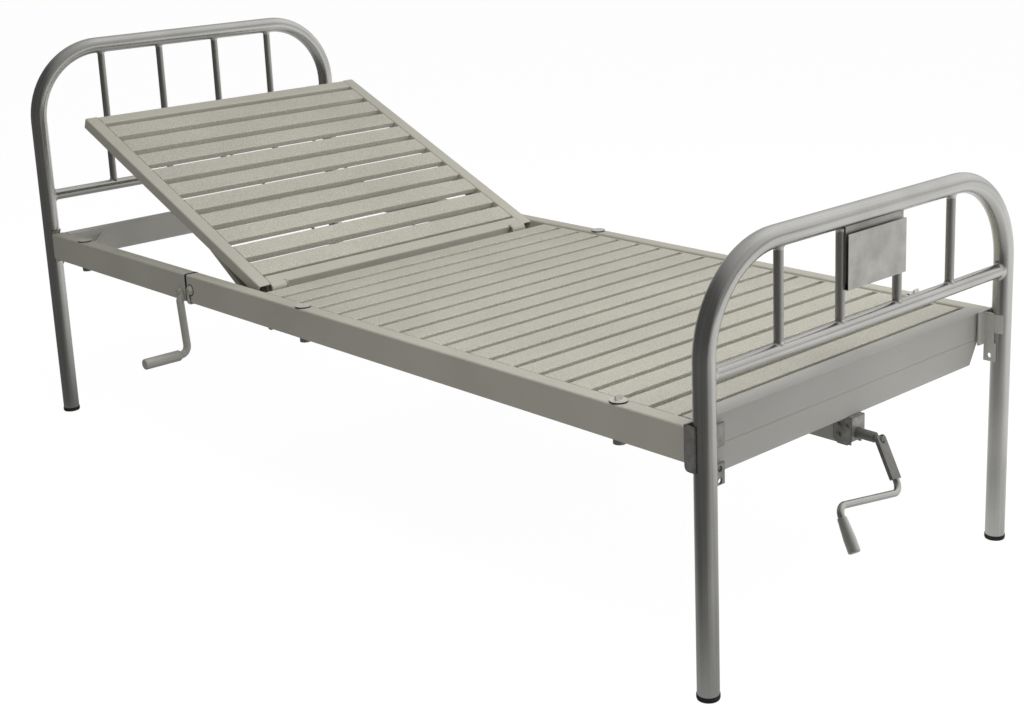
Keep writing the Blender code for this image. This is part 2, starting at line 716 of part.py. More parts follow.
def make_lock_lever(word, side, steel, grip_finish):
    """A pin on the head rail and the bent lever that turns on it."""
    pin_x = SPLIT_X - LEVER_SETBACK
    pin_z = RAIL_LOW + RAIL_H / 3
    face = side * (RAIL_OUT + GAP)
    outward = (0, side, 0)
    eye_out = LEVER_EYE_T + RUN
    head_out = eye_out + PIN_HEAD_T
    shank = [(0, 0), (PIN_R, 0), (PIN_R, eye_out)]
    head = [(PIN_HEAD_R, eye_out), (PIN_HEAD_R, head_out), (0, head_out)]
    place = (pin_x, face, pin_z)
    turned = partial(add_turned, profile=shank + head, place=place, axis=outward, sides=SMALL_ROUND)
    shape(f"lever_pin_{word}", turned, steel)

    # In the lever's own axes the pin is the origin and the arm hangs straight down.
    axis = pivot(f"lock_lever_{word}_axis", place, turn=-LEVER_LEAN)
    eye = capsule((0, 0), (LEVER_STEP, -2 * LEVER_EYE_R), LEVER_EYE_R)
    plate = partial(add_prism, outline=eye, axis="Y", low=0, high=side * LEVER_EYE_T)
    lever = shape(f"lock_lever_{word}", plate, steel, axis)
    rod_y = side * LEVER_ROD_R
    rod_end = rod_y + side * LEVER_OUT
    x = LEVER_STEP
    corners = [(x, rod_y, -LEVER_EYE_R - PIN_HEAD_R), (x, rod_y, -LEVER_ARM), (x, rod_end, -LEVER_ARM)]
    path = rounded(corners, LEVER_BEND, 5)
    fuse(lever, lambda bm: add_tube(bm, path, LEVER_ROD_R, sides=SMALL_ROUND))
    hole = [(0, -side * LEVER_EYE_T, 0), (0, 2 * side * LEVER_EYE_T, 0)]
    cut(lever, lambda bm: add_tube(bm, hole, PIN_R + RUN, sides=SMALL_ROUND))
    bore = LEVER_ROD_R + GAP
    end = LEVER_ROD_R
    soft = LEVER_GRIP_R / 4
    start = rod_end + side * (GAP + end - LEVER_GRIP_L)
    profile = [
        (bore, 0),
        (LEVER_GRIP_R - soft, 0),
        (LEVER_GRIP_R, soft),
        (LEVER_GRIP_R, LEVER_GRIP_L - soft),
        (LEVER_GRIP_R - soft, LEVER_GRIP_L),
        (0, LEVER_GRIP_L),
        (0, LEVER_GRIP_L - end),
        (bore, LEVER_GRIP_L - end),
    ]
    place = (x, start, -LEVER_ARM)
    turned = partial(add_turned, profile=profile, place=place, axis=outward, sides=SMALL_ROUND)
    shape(f"lever_grip_{word}", turned, grip_finish, axis)


def make_socket_plug(name, x, side, tabbed, finish):
    """A socket through the rail with a flat cap, which has a finger tab at the foot."""
    low = RAIL_LOW - SOCKET_DROP
    seat = RAIL_TOP + GAP
    top = seat + SOCKET_CAP_T
    bore = SOCKET_R - SOCKET_WALL
    profile = [
        (0, top),
        (SOCKET_CAP_R, top),
        (SOCKET_CAP_R, seat),
        (SOCKET_R, seat),
        (SOCKET_R, low),
        (bore, low),
        (bore, seat - SOCKET_WALL),
        (0, seat - SOCKET_WALL),
    ]
    y = side * RAIL_MID
    plug = shape(name, lambda bm: add_turned(bm, profile, (x, y, 0), (0, 0, 1), SMALL_ROUND), finish)
    if not tabbed:
        return
    tab_y = y - side * SOCKET_CAP_R / 3
    low_corner = (x - SOCKET_TAB_W / 2, tab_y - SOCKET_TAB_T / 2, top - WELD)
    high_corner = (x + SOCKET_TAB_W / 2, tab_y + SOCKET_TAB_T / 2, top + SOCKET_TAB_H)
    fuse(plug, lambda bm: add_box(bm, low_corner, high_corner))


# Deck and backrest


def add_boxes(bm, spans):
    for low, high in spans:
        add_box(bm, low, high)


def make_deck(paint):
    """Channel slats welded between two edge bars, with two ribs underneath."""
    start = HINGE_X + DECK_SETBACK
    end = BAR_FRONT - FOOT_BAR_W - DECK_GAP
    pitch = (end + DECK_GAP - start) / DECK_SLATS
    edge_out = RAIL_IN - GAP
    edge_in = edge_out - DECK_EDGE
    reach = edge_in + WELD
    lefts = [start + i * pitch for i in range(DECK_SLATS)]
    rights = [left + pitch - DECK_GAP for left in lefts]
    slats = [((a, -reach, DECK_LOW), (b, reach, DECK_TOP)) for a, b in zip(lefts, rights)]
    hollows = [
        ((a + SHEET, -edge_in, DECK_LOW - SLAT_H), (b - SHEET, edge_in, DECK_TOP - SHEET))
        for a, b in zip(lefts, rights)
    ]
    deck = shape("fixed_deck", lambda bm: add_boxes(bm, slats), paint)
    cut(deck, lambda bm: add_boxes(bm, hollows))
    edge_top = DECK_TOP - SHEET / 2
    edge_low = DECK_LOW - SHEET / 2
    edges = [
        ((start - SHEET, -edge_out, edge_low), (end + SHEET, -edge_in, edge_top)),
        ((start - SHEET, edge_in, edge_low), (end + SHEET, edge_out, edge_top)),
    ]
    fuse(deck, lambda bm: add_boxes(bm, edges))
    ribs = [
        ((start + SHEET / 2, y - RIB_T / 2, RIB_LOW), (end - SHEET / 2, y + RIB_T / 2, RIB_LOW + RIB_H))
        for y in (-RIB_Y, RIB_Y)
    ]
    fuse(deck, lambda bm: add_boxes(bm, ribs))


def make_backrest(paint):
    """A welded ladder of tubes and channel slats, drawn flat with the hinge axis as its origin.

    It runs from the hinge towards the head, along -X, and its pivot tilts it.
    """
    axis = pivot("backrest_axis", (HINGE_X, 0, HINGE_Z), turn=REST_TILT)
    top, low = BACK_TOP, BACK_TOP - BACK_T
    inner = BACK_HALF - BACK_BAR_W
    reach = inner + WELD
    sides = [((-BACK_LENGTH, y, low), (-WELD, y + BACK_BAR_W, top)) for y in (-BACK_HALF, inner)]
    panel = shape("backrest_panel", lambda bm: add_boxes(bm, sides), paint, axis)

    bar_low, bar_top = low + WELD / 2, top - WELD / 2
    cross = [
        ((-BACK_BAR_W, -reach, bar_low), (-2 * WELD, reach, bar_top)),
        ((-BACK_LENGTH + WELD / 2, -reach, bar_low), (-BACK_LENGTH + BACK_BAR_W, reach, bar_top)),
    ]
    space = BACK_LENGTH - 2 * BACK_BAR_W - BACK_FIRST_GAP - BACK_LAST_GAP
    pitch = (space - BACK_SLAT_W) / (BACK_SLATS - 1)
    starts = [-(BACK_BAR_W + BACK_FIRST_GAP + i * pitch) for i in range(BACK_SLATS)]
    slat_top = top - BACK_SLAT_DROP
    slat_low = slat_top - SLAT_H
    slats = [((x - BACK_SLAT_W, -reach, slat_low), (x, reach, slat_top)) for x in starts]
    fuse(panel, lambda bm: add_boxes(bm, cross + slats))

    wall = BACK_WALL
    bores = [
        ((-BACK_LENGTH - wall, y + wall, low + wall), (wall, y + BACK_BAR_W - wall, top - wall))
        for y in (-BACK_HALF, inner)
    ]
    cut(panel, lambda bm: add_boxes(bm, bores))
    through = inner + 2 * wall
    hollows = [
        ((x0 + wall, -through, z0 + wall), (x1 - wall, through, z1 - wall))
        for (x0, _, z0), (x1, _, z1) in cross
    ]
    clear = inner - WELD
    hollows += [
        ((x0 + SHEET, -clear, slat_low - SLAT_H), (x1 - SHEET, clear, slat_top - SHEET))
        for (x0, _, _), (x1, _, _) in slats
    ]
    cut(panel, lambda bm: add_boxes(bm, hollows))

    rib_top = slat_low + WELD
    first = -BACK_BAR_W + WELD
    last = -BACK_LENGTH + BACK_BAR_W - WELD
    ribs = [
        ((last, y - RIB_T / 2, low - WELD), (first, y + RIB_T / 2, rib_top))
        for y in (-BACK_RIB_Y, BACK_RIB_Y)
    ]
    fuse(panel, lambda bm: add_boxes(bm, ribs))

    lug_room = HINGE_LUG_R + 2 * RUN
    for side in SIDES.values():
        notch = [(0, side * (SLEEVE_IN - HINGE_LUG_T - 4 * RUN), 0), (0, side * (SLEEVE_OUT + GAP), 0)]
        cut(panel, lambda bm: add_tube(bm, notch, lug_room, sides=SMALL_ROUND))
        sleeve = [(0, side * SLEEVE_IN, 0), (0, side * SLEEVE_OUT, 0)]
        seat = [(0, side * (SLEEVE_IN + WELD), 0), (0, side * (SLEEVE_OUT - WELD), 0)]
        fuse(panel, lambda bm: add_tube(bm, seat, lug_room + WELD / 2, sides=SMALL_ROUND))
        fuse(panel, lambda bm: add_tube(bm, sleeve, HINGE_SLEEVE_R, sides=SMALL_ROUND))
        bore = [(0, side * (SLEEVE_IN - wall), 0), (0, side * (SLEEVE_OUT + wall), 0)]
        cut(panel, lambda bm: add_tube(bm, bore, HINGE_PIN_R + RUN, sides=SMALL_ROUND))
    return axis


def make_hinge_pin(word, side, steel):
    """A lug under the deck's first slat, with the pin that the backrest's sleeve turns on."""
    lug_out = side * (SLEEVE_IN - 2 * RUN)
    lug_in = lug_out - side * HINGE_LUG_T
    foot_high = DECK_LOW - SHEET / 2 - GAP
    foot_low = foot_high - HINGE_LUG_R
    foot_x = HINGE_X + DECK_SETBACK + HINGE_LUG_FOOT
    eye = arc((HINGE_X, HINGE_Z), HINGE_LUG_R, 0, HINGE_LUG_WRAP, 12)
    outline = eye + [(foot_x, foot_low), (foot_x, foot_high), (HINGE_X + DECK_SETBACK, foot_high)]
    pin = shape(f"hinge_pin_{word}", lambda bm: add_prism(bm, outline, "Y", lug_in, lug_out), steel)
    end = side * (SLEEVE_OUT - 2 * WELD)
    shank = [(HINGE_X, lug_in + side * WELD, HINGE_Z), (HINGE_X, end, HINGE_Z)]
    fuse(pin, lambda bm: add_tube(bm, shank, HINGE_PIN_R, sides=SMALL_ROUND))


def make_lever_frame(axis, paint):
    """Struts, cross tube and drive arm under the backrest, in the backrest's own axes."""
    under = BACK_TOP - BACK_T - GAP
    cross = Vector((CROSS_BACK, -CROSS_DROP))
    end = BACK_HALF - STRUT_INSET
    cross_y = end + STRUT_T / 2 + CROSS_OVERHANG
    tube = [(cross.x, -cross_y, cross.y), (cross.x, cross_y, cross.y)]
    cross_tube = partial(add_tube, path=tube, radius=CROSS_R, bore=CROSS_R - BACK_WALL, sides=SMALL_ROUND)
    frame = shape("lever_frame", cross_tube, paint, axis)
    for side in SIDES.values():
        for top_x in (-STRUT_TOP, -LINK_TOP):
            outline = strut_outline(cross, Vector((top_x, under)), under)
            faces = sorted((side * (end - STRUT_T / 2), side * (end + STRUT_T / 2)))
            fuse(frame, lambda bm: add_prism(bm, outline, "Y", *faces))
    drive = (LEVER_R * math.sin(SWING), -LEVER_R * math.cos(SWING))
    arm = capsule(tuple(cross), drive, ARM_R)
    fuse(frame, lambda bm: add_prism(bm, arm, "Y", -ARM_T / 2, ARM_T / 2))
    reach = ARM_T / 2 + FORK_PLAY + FORK_ARM_T + PIN_OVERHANG
    pin = [(drive[0], -reach, drive[1]), (drive[0], reach, drive[1])]
    fuse(frame, lambda bm: add_tube(bm, pin, DRIVE_PIN_R, sides=SMALL_ROUND))
    bore = [(cross.x, -cross_y - WELD, cross.y), (cross.x, cross_y + WELD, cross.y)]
    cut(frame, lambda bm: add_tube(bm, bore, CROSS_R - BACK_WALL, sides=SMALL_ROUND))


def strut_outline(low, high, level):
    """A flat bar from one point to another, cut off along a level line at its upper end."""
    along = (high - low).normalized()
    across = Vector((-along.y, along.x)) * STRUT_W / 2
    points = []
    for edge in (across, -across):
        foot = low + edge
        points.append((foot, foot + along * (level - foot.y) / along.y))
    (a, b), (c, d) = points
    return [tuple(a), tuple(b), tuple(d), tuple(c)]


# Screw drive


def make_drive_supports(paint, steel, nylon):
    crossbar_top = RIB_LOW - GAP
    channel_end = DRIVE_FRONT - DRIVE_SHEET - GAP
    channel_start = channel_end - CHANNEL_L
    bar_x = channel_start + CROSSBAR_W / 2
    low = (bar_x - CROSSBAR_W / 2, -RAIL_IN + GAP, crossbar_top - CROSSBAR_H)
    high = (bar_x + CROSSBAR_W / 2, RAIL_IN - GAP, crossbar_top)
    bar = shape("cross_bar", lambda bm: add_cross_tube(bm, low, high, RAIL_WALL), paint)

    half = CHANNEL_W / 2
    sheet = CHANNEL_SHEET
    base, top = SCREW_Z - CHANNEL_DROP, SCREW_Z + CHANNEL_RISE
    section = [
        (-half, base),
        (-half, top),
        (half, top),
        (half, base),
        (half - sheet, base),
        (half - sheet, top - sheet),
        (-half + sheet, top - sheet),
        (-half + sheet, base),
    ]
    shape("drive_channel", lambda bm: add_prism(bm, section, "X", channel_start, channel_end), steel)
    hanger_low = (bar_x - HANGER_W / 2, -half, top + GAP)
    hanger_high = (bar_x + HANGER_W / 2, half, crossbar_top - CROSSBAR_H + WELD)
    fuse(bar, lambda bm: add_box(bm, hanger_low, hanger_high))

    room = half - sheet - GAP
    guide_low = (channel_start + sheet, -room, base)
    guide_high = (channel_start + sheet + GUIDE_L, room, top - sheet - GAP)
    guide = shape("tube_guide", lambda bm: add_box(bm, guide_low, guide_high), nylon)
    way = [(channel_start - GUIDE_L, 0, SCREW_Z), (channel_start + 3 * GUIDE_L, 0, SCREW_Z)]
    cut(guide, lambda bm: add_tube(bm, way, PUSH_R + RUN))

    outer = half + GAP + DRIVE_SHEET
    roof = RAIL_TOP - FOOT_BAR_H - GAP - APRON_DROP - GAP
    floor = base - GAP
    back = DRIVE_FRONT - DRIVE_L
    corner = DRIVE_CHAMFER
    profile = [
        (back, roof),
        (back, floor + corner),
        (back + corner, floor),
        (DRIVE_FRONT - corner, floor),
        (DRIVE_FRONT, floor + corner),
        (DRIVE_FRONT, roof),
    ]
    bracket = shape("drive_bracket", lambda bm: add_prism(bm, profile, "Y", -outer, outer), steel)
    hollow_low = (back - corner, -half - GAP, floor - corner)
    hollow_high = (DRIVE_FRONT - DRIVE_SHEET, half + GAP, top + GAP)
    cut(bracket, lambda bm: add_box(bm, hollow_low, hollow_high))
    hole = [(DRIVE_FRONT - 3 * DRIVE_SHEET, 0, SCREW_Z), (DRIVE_FRONT + DRIVE_SHEET, 0, SCREW_Z)]
    cut(bracket, lambda bm: add_tube(bm, hole, SHAFT_R + RUN))


def make_screw(steel):
    """The screw and its crank shaft, with a thrust collar inside the bracket and a round tongue."""
    axis = pivot("screw_axis", (CRANK_PIN_X, 0, SCREW_Z), roll=-CRANK_SPIN)
    tip = FOOT_X - SCREW_TIP_FROM_FOOT - CRANK_PIN_X
    collar_end = DRIVE_FRONT - DRIVE_SHEET - CRANK_PIN_X - 2 * RUN
    shaft_end = -CRANK_TOP - CRANK_T / 2
    tongue_r = CRANK_SLOT / 2 - RUN
    profile = [
        (0, tip),
        (SCREW_R - SHEET, tip),
        (SCREW_R, tip + SHEET),
        (SCREW_R, collar_end - COLLAR_L),
        (COLLAR_R, collar_end - COLLAR_L),
        (COLLAR_R, collar_end),
        (SHAFT_R, collar_end),
        (SHAFT_R, shaft_end),
        (tongue_r, shaft_end),
        (tongue_r, TONGUE_REACH - SHEET),
        (tongue_r - SHEET, TONGUE_REACH),
        (0, TONGUE_REACH),
    ]
    turned = partial(add_turned, profile=profile, place=(0, 0, 0), axis=(1, 0, 0), sides=SMALL_ROUND)
    screw = shape("screw_shaft", turned, steel, axis)
    hole = [(0, -CRANK_W, 0), (0, CRANK_W, 0)]
    cut(screw, lambda bm: add_tube(bm, hole, CRANK_PIN_R + RUN, sides=SMALL_ROUND))
    return axis


def make_push_tube(steel, bronze):
    """The nut on the screw, the tube it pushes and the fork whose slots take the drive pin."""
    half = NUT_SIDE / 2
    nut_low = (NUT_X - NUT_L / 2, -half, SCREW_Z - half)
    nut_high = (NUT_X + NUT_L / 2, half, SCREW_Z + half)
    nut = shape("drive_nut", lambda bm: add_box(bm, nut_low, nut_high), bronze)
    way = [(NUT_X - NUT_L, 0, SCREW_Z), (NUT_X + NUT_L, 0, SCREW_Z)]
    cut(nut, lambda bm: add_tube(bm, way, SCREW_R + RUN))

    web = SLOT_X + FORK_REACH
    run = [(web + WELD, 0, SCREW_Z), (NUT_X - NUT_L / 2 - GAP, 0, SCREW_Z)]
    push = shape("push_tube", lambda bm: add_tube(bm, run, PUSH_R, PUSH_BORE_R), steel)

    pin_low, pin_high = HINGE_Z - LEVER_R, HINGE_Z - LEVER_R * math.cos(SWING)
    play = DRIVE_PIN_R + 2 * RUN
    slot_low, slot_high = pin_low - play, pin_high + play
    slot_half = play + slot_drift()
    inner = ARM_T / 2 + FORK_PLAY
    outer = inner + FORK_ARM_T
    nose = SLOT_X - slot_half - FORK_NOSE
    fork_low = (nose, -outer, slot_low - FORK_RIM)
    fork_high = (web + FORK_WEB_T, outer, slot_high + FORK_RIM)
    fuse(push, lambda bm: add_box(bm, fork_low, fork_high))
    mouth_low = (nose - FORK_NOSE, -inner, slot_low - 2 * FORK_RIM)
    mouth_high = (web, inner, slot_high + 2 * FORK_RIM)
    cut(push, lambda bm: add_box(bm, mouth_low, mouth_high))
    slot = [
        (SLOT_X - slot_half, slot_low),
        (SLOT_X + slot_half, slot_low),
        (SLOT_X + slot_half, slot_high),
        (SLOT_X - slot_half, slot_high),
    ]
    cut(push, lambda bm: add_prism(bm, slot, "Y", -2 * outer, 2 * outer))


def slot_drift(steps=60):
    """How far the pin strays from the slot's middle, since the nut's travel follows the tilt evenly."""
    drifts = []
    for i in range(steps + 1):
        tilt = FULL_TILT * i / steps
        swung = LEVER_R * (math.sin(SWING) - math.sin(SWING - tilt))
        drifts.append(abs(swung - TRAVEL_PER_RAD * tilt))
    return max(drifts)


def make_crank(screw_axis, paint, steel):
    """The folding crank: a forked flat arm, a bent rod and a tapered grip, all hanging from the pin."""
    axis = pivot("crank_axis", (0, 0, 0), screw_axis, -CRANK_TILT)
    half_w, half_t = CRANK_W / 2, CRANK_T / 2
    shoulder = CRANK_TOP - half_t / 2
    side = [
        (-half_t, -CRANK_ARM),
        (half_t, -CRANK_ARM),
        (half_t, shoulder),
        (half_t / 2, CRANK_TOP),
        (-half_t / 2, CRANK_TOP),
        (-half_t, shoulder),
    ]
    arm = shape("crank_arm", lambda bm: add_prism(bm, side, "Y", -half_w, half_w), paint, axis)
    slot_low = (-CRANK_T, -CRANK_SLOT / 2, -CRANK_SLOT_DEPTH)
    slot_high = (CRANK_T, CRANK_SLOT / 2, CRANK_W)
    cut(arm, lambda bm: add_box(bm, slot_low, slot_high))
    seat = [(0, 0, -CRANK_ARM + SPIGOT_L + GAP), (0, 0, -CRANK_ARM - SPIGOT_L)]
    cut(arm, lambda bm: add_tube(bm, seat, SPIGOT_R + GAP, sides=SMALL_ROUND))
    pin = [(0, -half_w + WELD, 0), (0, half_w - WELD, 0)]
    fuse(arm, lambda bm: add_tube(bm, pin, CRANK_PIN_R, sides=SMALL_ROUND))

    grip_low = -(ROD_DROP + GRIP_START)
    rod_top = -CRANK_ARM - GAP
    rod_end = -GRIP_TIP + GRIP_END + GAP
    corners = [(0, 0, rod_top), (0, 0, -ROD_DROP), (0, -ROD_THROW, -ROD_DROP), (0, -ROD_THROW, rod_end)]
    path = rounded(corners, ROD_BEND, 5)
    rod = shape("crank_rod", lambda bm: add_tube(bm, path, ROD_R, sides=SMALL_ROUND), steel, axis)
    spigot = [(0, 0, rod_top - WELD), (0, 0, -CRANK_ARM + SPIGOT_L)]
    fuse(rod, lambda bm: add_tube(bm, spigot, SPIGOT_R, sides=SMALL_ROUND))
    bore = ROD_R + GAP
    profile = [
        (bore, 0),
        (GRIP_TOP_R, 0),
        (GRIP_END_R, GRIP_TAPER),
        (GRIP_END_R, GRIP_L - GRIP_ROUND),
        (GRIP_END_R - GRIP_ROUND, GRIP_L),
        (0, GRIP_L),
        (0, GRIP_L - GRIP_END),
        (bore, GRIP_L - GRIP_END),
    ]
    place = (0, -ROD_THROW, grip_low)
    turned = partial(add_turned, profile=profile, place=place, axis=(0, 0, -1), sides=SMALL_ROUND)
    shape("crank_grip", turned, steel, axis)


def main():
    for old in list(bpy.data.objects):
        bpy.data.objects.remove(old)

    steel_tube = material("brushed tube", (0.36, 0.35, 0.33), 0.32, 0.9)
    sheet_steel = material("brushed sheet", (0.40, 0.39, 0.36), 0.35, 0.9)
    paint = material("grey beige paint", (0.47, 0.45, 0.37), 0.55, 0.0)
    dark_steel = material("dark zinc plate", (0.12, 0.12, 0.11), 0.45, 0.8)
    lever_paint = material("grey lever paint", (0.22, 0.22, 0.20), 0.45, 0.3)
    rod_steel = material("bright crank rod", (0.42, 0.41, 0.38), 0.35, 0.7)
    rubber = material("black rubber", (0.02, 0.02, 0.02), 0.8, 0.0)
    cap_finish = material("pale cap", (0.62, 0.62, 0.60), 0.35, 0.2)
    bronze = material("bronze nut", (0.45, 0.30, 0.13), 0.4, 0.9)
    nylon = material("white nylon", (0.75, 0.74, 0.70), 0.5, 0.0)

    ends = {"head": (HEAD_X, HEAD_HEIGHT, HEAD_MID_Z), "foot": (FOOT_X, FOOT_HEIGHT, FOOT_MID_Z)}
    for end, (x, height, mid) in ends.items():
        make_arch(f"{end}_arch", x, height, steel_tube)
        make_mid_rail(f"{end}_mid_rail", x, mid, steel_tube)
        make_bars(f"{end}_bar", x, mid, height, steel_tube)
        for word, side in SIDES.items():
            make_foot_cap(f"foot_cap_{end}_{word}", x, side * LEG_Y, rubber)
    for word, side in SIDES.items():
        make_head_plate(f"hook_bracket_head_{word}", side, dark_steel)
    make_near_hook("hook_bracket_foot_near", dark_steel)
    make_far_plate("hook_bracket_foot_far", sheet_steel)
    make_chart_pocket(sheet_steel)

    make_rails(paint)
    make_end_bars(paint)
    make_apron(paint)
    for word, side in SIDES.items():
        make_splice(word, side, paint)
        make_lock_lever(word, side, lever_paint, lever_paint)
        for i, distance in enumerate(SOCKET_FROM_HEAD):
            tabbed = distance == max(SOCKET_FROM_HEAD)
            make_socket_plug(f"socket_plug_{word}_{i + 1}", HEAD_X + distance, side, tabbed, cap_finish)
        make_hinge_pin(word, side, sheet_steel)

    make_deck(paint)
    backrest_axis = make_backrest(paint)
    make_lever_frame(backrest_axis, paint)
    make_drive_supports(paint, lever_paint, nylon)
    make_push_tube(dark_steel, bronze)
    screw_axis = make_screw(lever_paint)
    make_crank(screw_axis, lever_paint, rod_steel)
    smooth_all()


main()
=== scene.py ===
import json
import math

import bmesh
import bpy
from mathutils import Matrix, Vector


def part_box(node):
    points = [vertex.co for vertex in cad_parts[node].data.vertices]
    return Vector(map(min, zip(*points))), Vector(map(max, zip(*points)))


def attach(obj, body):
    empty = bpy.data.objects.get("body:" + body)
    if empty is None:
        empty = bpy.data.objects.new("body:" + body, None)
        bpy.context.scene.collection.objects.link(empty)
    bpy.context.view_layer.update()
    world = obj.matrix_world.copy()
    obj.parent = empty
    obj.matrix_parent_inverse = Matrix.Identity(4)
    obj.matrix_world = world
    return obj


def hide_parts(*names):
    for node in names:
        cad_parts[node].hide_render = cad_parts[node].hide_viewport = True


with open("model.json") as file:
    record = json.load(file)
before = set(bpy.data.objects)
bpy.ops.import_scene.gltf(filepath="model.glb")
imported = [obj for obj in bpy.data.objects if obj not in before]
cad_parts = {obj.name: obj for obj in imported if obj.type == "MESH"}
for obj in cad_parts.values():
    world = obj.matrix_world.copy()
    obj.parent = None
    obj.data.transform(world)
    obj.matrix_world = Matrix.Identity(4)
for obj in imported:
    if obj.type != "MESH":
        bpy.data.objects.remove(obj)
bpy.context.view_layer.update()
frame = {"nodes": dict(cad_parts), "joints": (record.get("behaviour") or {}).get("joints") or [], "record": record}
record = frame["record"]
body_of = {node: body for body, nodes in record["behaviour"]["bodies"].items() for node in nodes}
slot_of = {row["node"]: row["material_slot"] for row in record["subparts"]}
joints = {joint["name"]: joint for joint in frame["joints"]}

# Smoothness of the rounded pieces
TUBE_SIDES = 40
ROD_SIDES = 28
HEX_SIDES = 6
BEND_STEPS = 18
ROD_BEND_STEPS = 10
LUG_STEPS = 14
CORNER_STEPS = 5
SMALL_STEPS = 3
WELD_STEPS = 5
SHARP = math.radians(38)
FLAT = math.radians(0.6)
SAME_PLACE = 1e-6  # points this close become one
SMALLEST_R = 1e-5  # at the tip of a turned piece
UPRIGHT = 0.9  # a direction with more of z than this counts as upright

# How far the edges of plates and bars are rounded
FINE_EDGE = 0.0003
THIN_EDGE = 0.0004
PLAIN_EDGE = 0.0005
HEAVY_EDGE = 0.0006
FOLD_EDGE = 0.0007
BLOCK_SOFT = 0.6  # how far a block's ends are rounded, as a share of its edges' radius

# Materials: an edge is (width, share, tone), a stray is how far roughness goes down and up. An edge tone above 1
# is wear with a painted highlight, below 1 it is painted shade
TURN = "turn_round_loop"  # vertex attribute that brushed streaks follow
STREAK_SCALE = 6.0
STREAK_DETAIL = 5.0
STREAK_DRIFT = (0.45, 0.45, 0.45)  # how fast streaks change along a tube
STREAK_STRAY = (0.10, 0.10)
NOISE_LOW, NOISE_HIGH = 0.32, 0.68  # most of a noise's values lie between them
EDGE_FLAT, EDGE_FULL = 0.995, 0.86  # how well the softened normal agrees with the plain one
EDGE_SAMPLES = 4
CLOUD_DETAIL = 3.0
SKIN_DETAIL = 2.0
PAINT_PATCH = 5.0
PAINT_TONES = (0.95, 1.05)
PAINT_EDGE = (0.0012, 0.22, 1.25)
PAINT_STRAY = (0.06, 0.08)
METAL_DETAIL = 4.0
METAL_GRAIN = (0.94, 1.05)
METAL_EDGE = (0.0010, 0.35, 1.3)
METAL_STRAY = (0.05, 0.07)
# painted shade: bracket edges darkened to a tenth of their tone
EDGE_PAINTED_SHADE = (0.0034, 0.9, 0.10)
MOULD_PATCH = 60.0
MOULD_GRAIN = 1400.0
MOULD_TONES = (0.85, 1.2)
MOULD_EDGE = (0.0010, 0.3, 1.6)
MOULD_STRAY = (0.06, 0.06)
MIX_A, MIX_B, MIX_RESULT = 6, 7, 2  # colour sockets of a Mix node

# Shapes that the frame's boxes don't give
BEND_R = 0.162  # arch corners, to the tube's centreline
RAIL_CORNER = 0.0035
END_BAR_CORNER = 0.0028
RAIL_WALL = 0.0015
SHEET = 0.0015
SLAT_CORNER = 0.0022
SLAT_H = 0.020
DECK_SLATS = 18
DECK_GAP = 0.014
DECK_EDGE = 0.005
RIB_T = 0.006
RIB_H = 0.022
RIB_ROUND = 0.0012
DECK_RIB_Y = 0.130
BACK_LENGTH = 0.7185
BACK_T = 0.025
BACK_TOP = 0.0095  # top surface above the hinge axis
BACK_BAR_W = 0.030
BACK_CORNER = 0.003
BACK_SLATS = 10
BACK_SLAT_W = 0.0465
BACK_FIRST_GAP = 0.008
BACK_LAST_GAP = 0.0135
BACK_SLAT_DROP = 0.0015
BACK_SLAT_PLAY = 0.0010  # dark line between a slat's end and the side tube
BACK_FLANGE = 0.0138  # how deep the backrest slats are folded, on average
BACK_FLANGE_VARIES = 0.0018
BACK_FLANGE_PHASE = 2.4  # radians from slat to slat
BACK_RIB_Y = 0.115
BACK_RIB_ROUND = 0.0008
SLEEVE_R = 0.011
SLEEVE_BORE = 0.0074
SLEEVE_OUT = 0.347
SLEEVE_IN = 0.311

# Lever frame under the backrest, in axes with the hinge as origin and the backrest flat
LEVER_R = 0.130
CROSS_BACK = 0.0311
CROSS_DROP = 0.0672
CROSS_R = 0.0125
STRUT_TOP = 0.255
STRUT_LOW = 0.009  # lower edge from the line between its ends
STRUT_W = 0.010
STRUT_T = 0.006
WEB_RAISED = 0.002  # web's lower edge above the strut's
LINK_TOP = 0.022
LINK_W = 0.022
ARM_T = 0.010
ARM_R = 0.015
DRIVE_PIN_R = 0.006

# Lock levers, in axes with the pin as origin and the arm hanging down
LEVER_EYE_R = 0.0088
LEVER_EYE_L = 0.014
LEVER_FLAT_END = 0.018  # below the pin, where the rod is round again
LEVER_EYE_T = 0.005
LEVER_EYE_ROUND = 0.0008
LEVER_STEP = 0.006
LEVER_ARM = 0.132
LEVER_BEND = 0.018
LEVER_OUT = 0.096
LEVER_ROD_R = 0.008
LEVER_GRIP_R = 0.0115
LEVER_GRIP_L = 0.084
LEVER_GRIP_MOUTH = 0.0005
LEVER_GRIP_LIP = -60  # degrees, where the rounding of its mouth starts
LEVER_GRIP_STEPS = 4
LEVER_LEAN = math.radians(7)
PIN_R = 0.004
PIN_HEAD_R = 0.007
PIN_HEAD_T = 0.003
PIN_DOME = (0, 0.4, 0.8, 1.2, 1.5)  # radians up the rivet's dome

# Sockets in the rails
SOCKET_R = 0.011
SOCKET_BORE = 0.009
SOCKET_CAP_R = 0.0152
SOCKET_CAP_T = 0.0012
SOCKET_DISH = (0.86, 0.8, 0.5)  # rings of the cap's hollow, as shares of its radius
SOCKET_BORE_TOP = 0.004  # below the cap's seat
SOCKET_SHADE_RING = 0.0020  # black ring under the cap's rim: painted shade
SOCKET_STUB = 0.009  # tube below the rail
SOCKET_TAB_L = 0.014
SOCKET_TAB_FOOT = 0.007
SOCKET_TAB_EDGE = 0.0012
SOCKET_TAB_LEAST = 0.001  # a node that stands up less than this has no tab

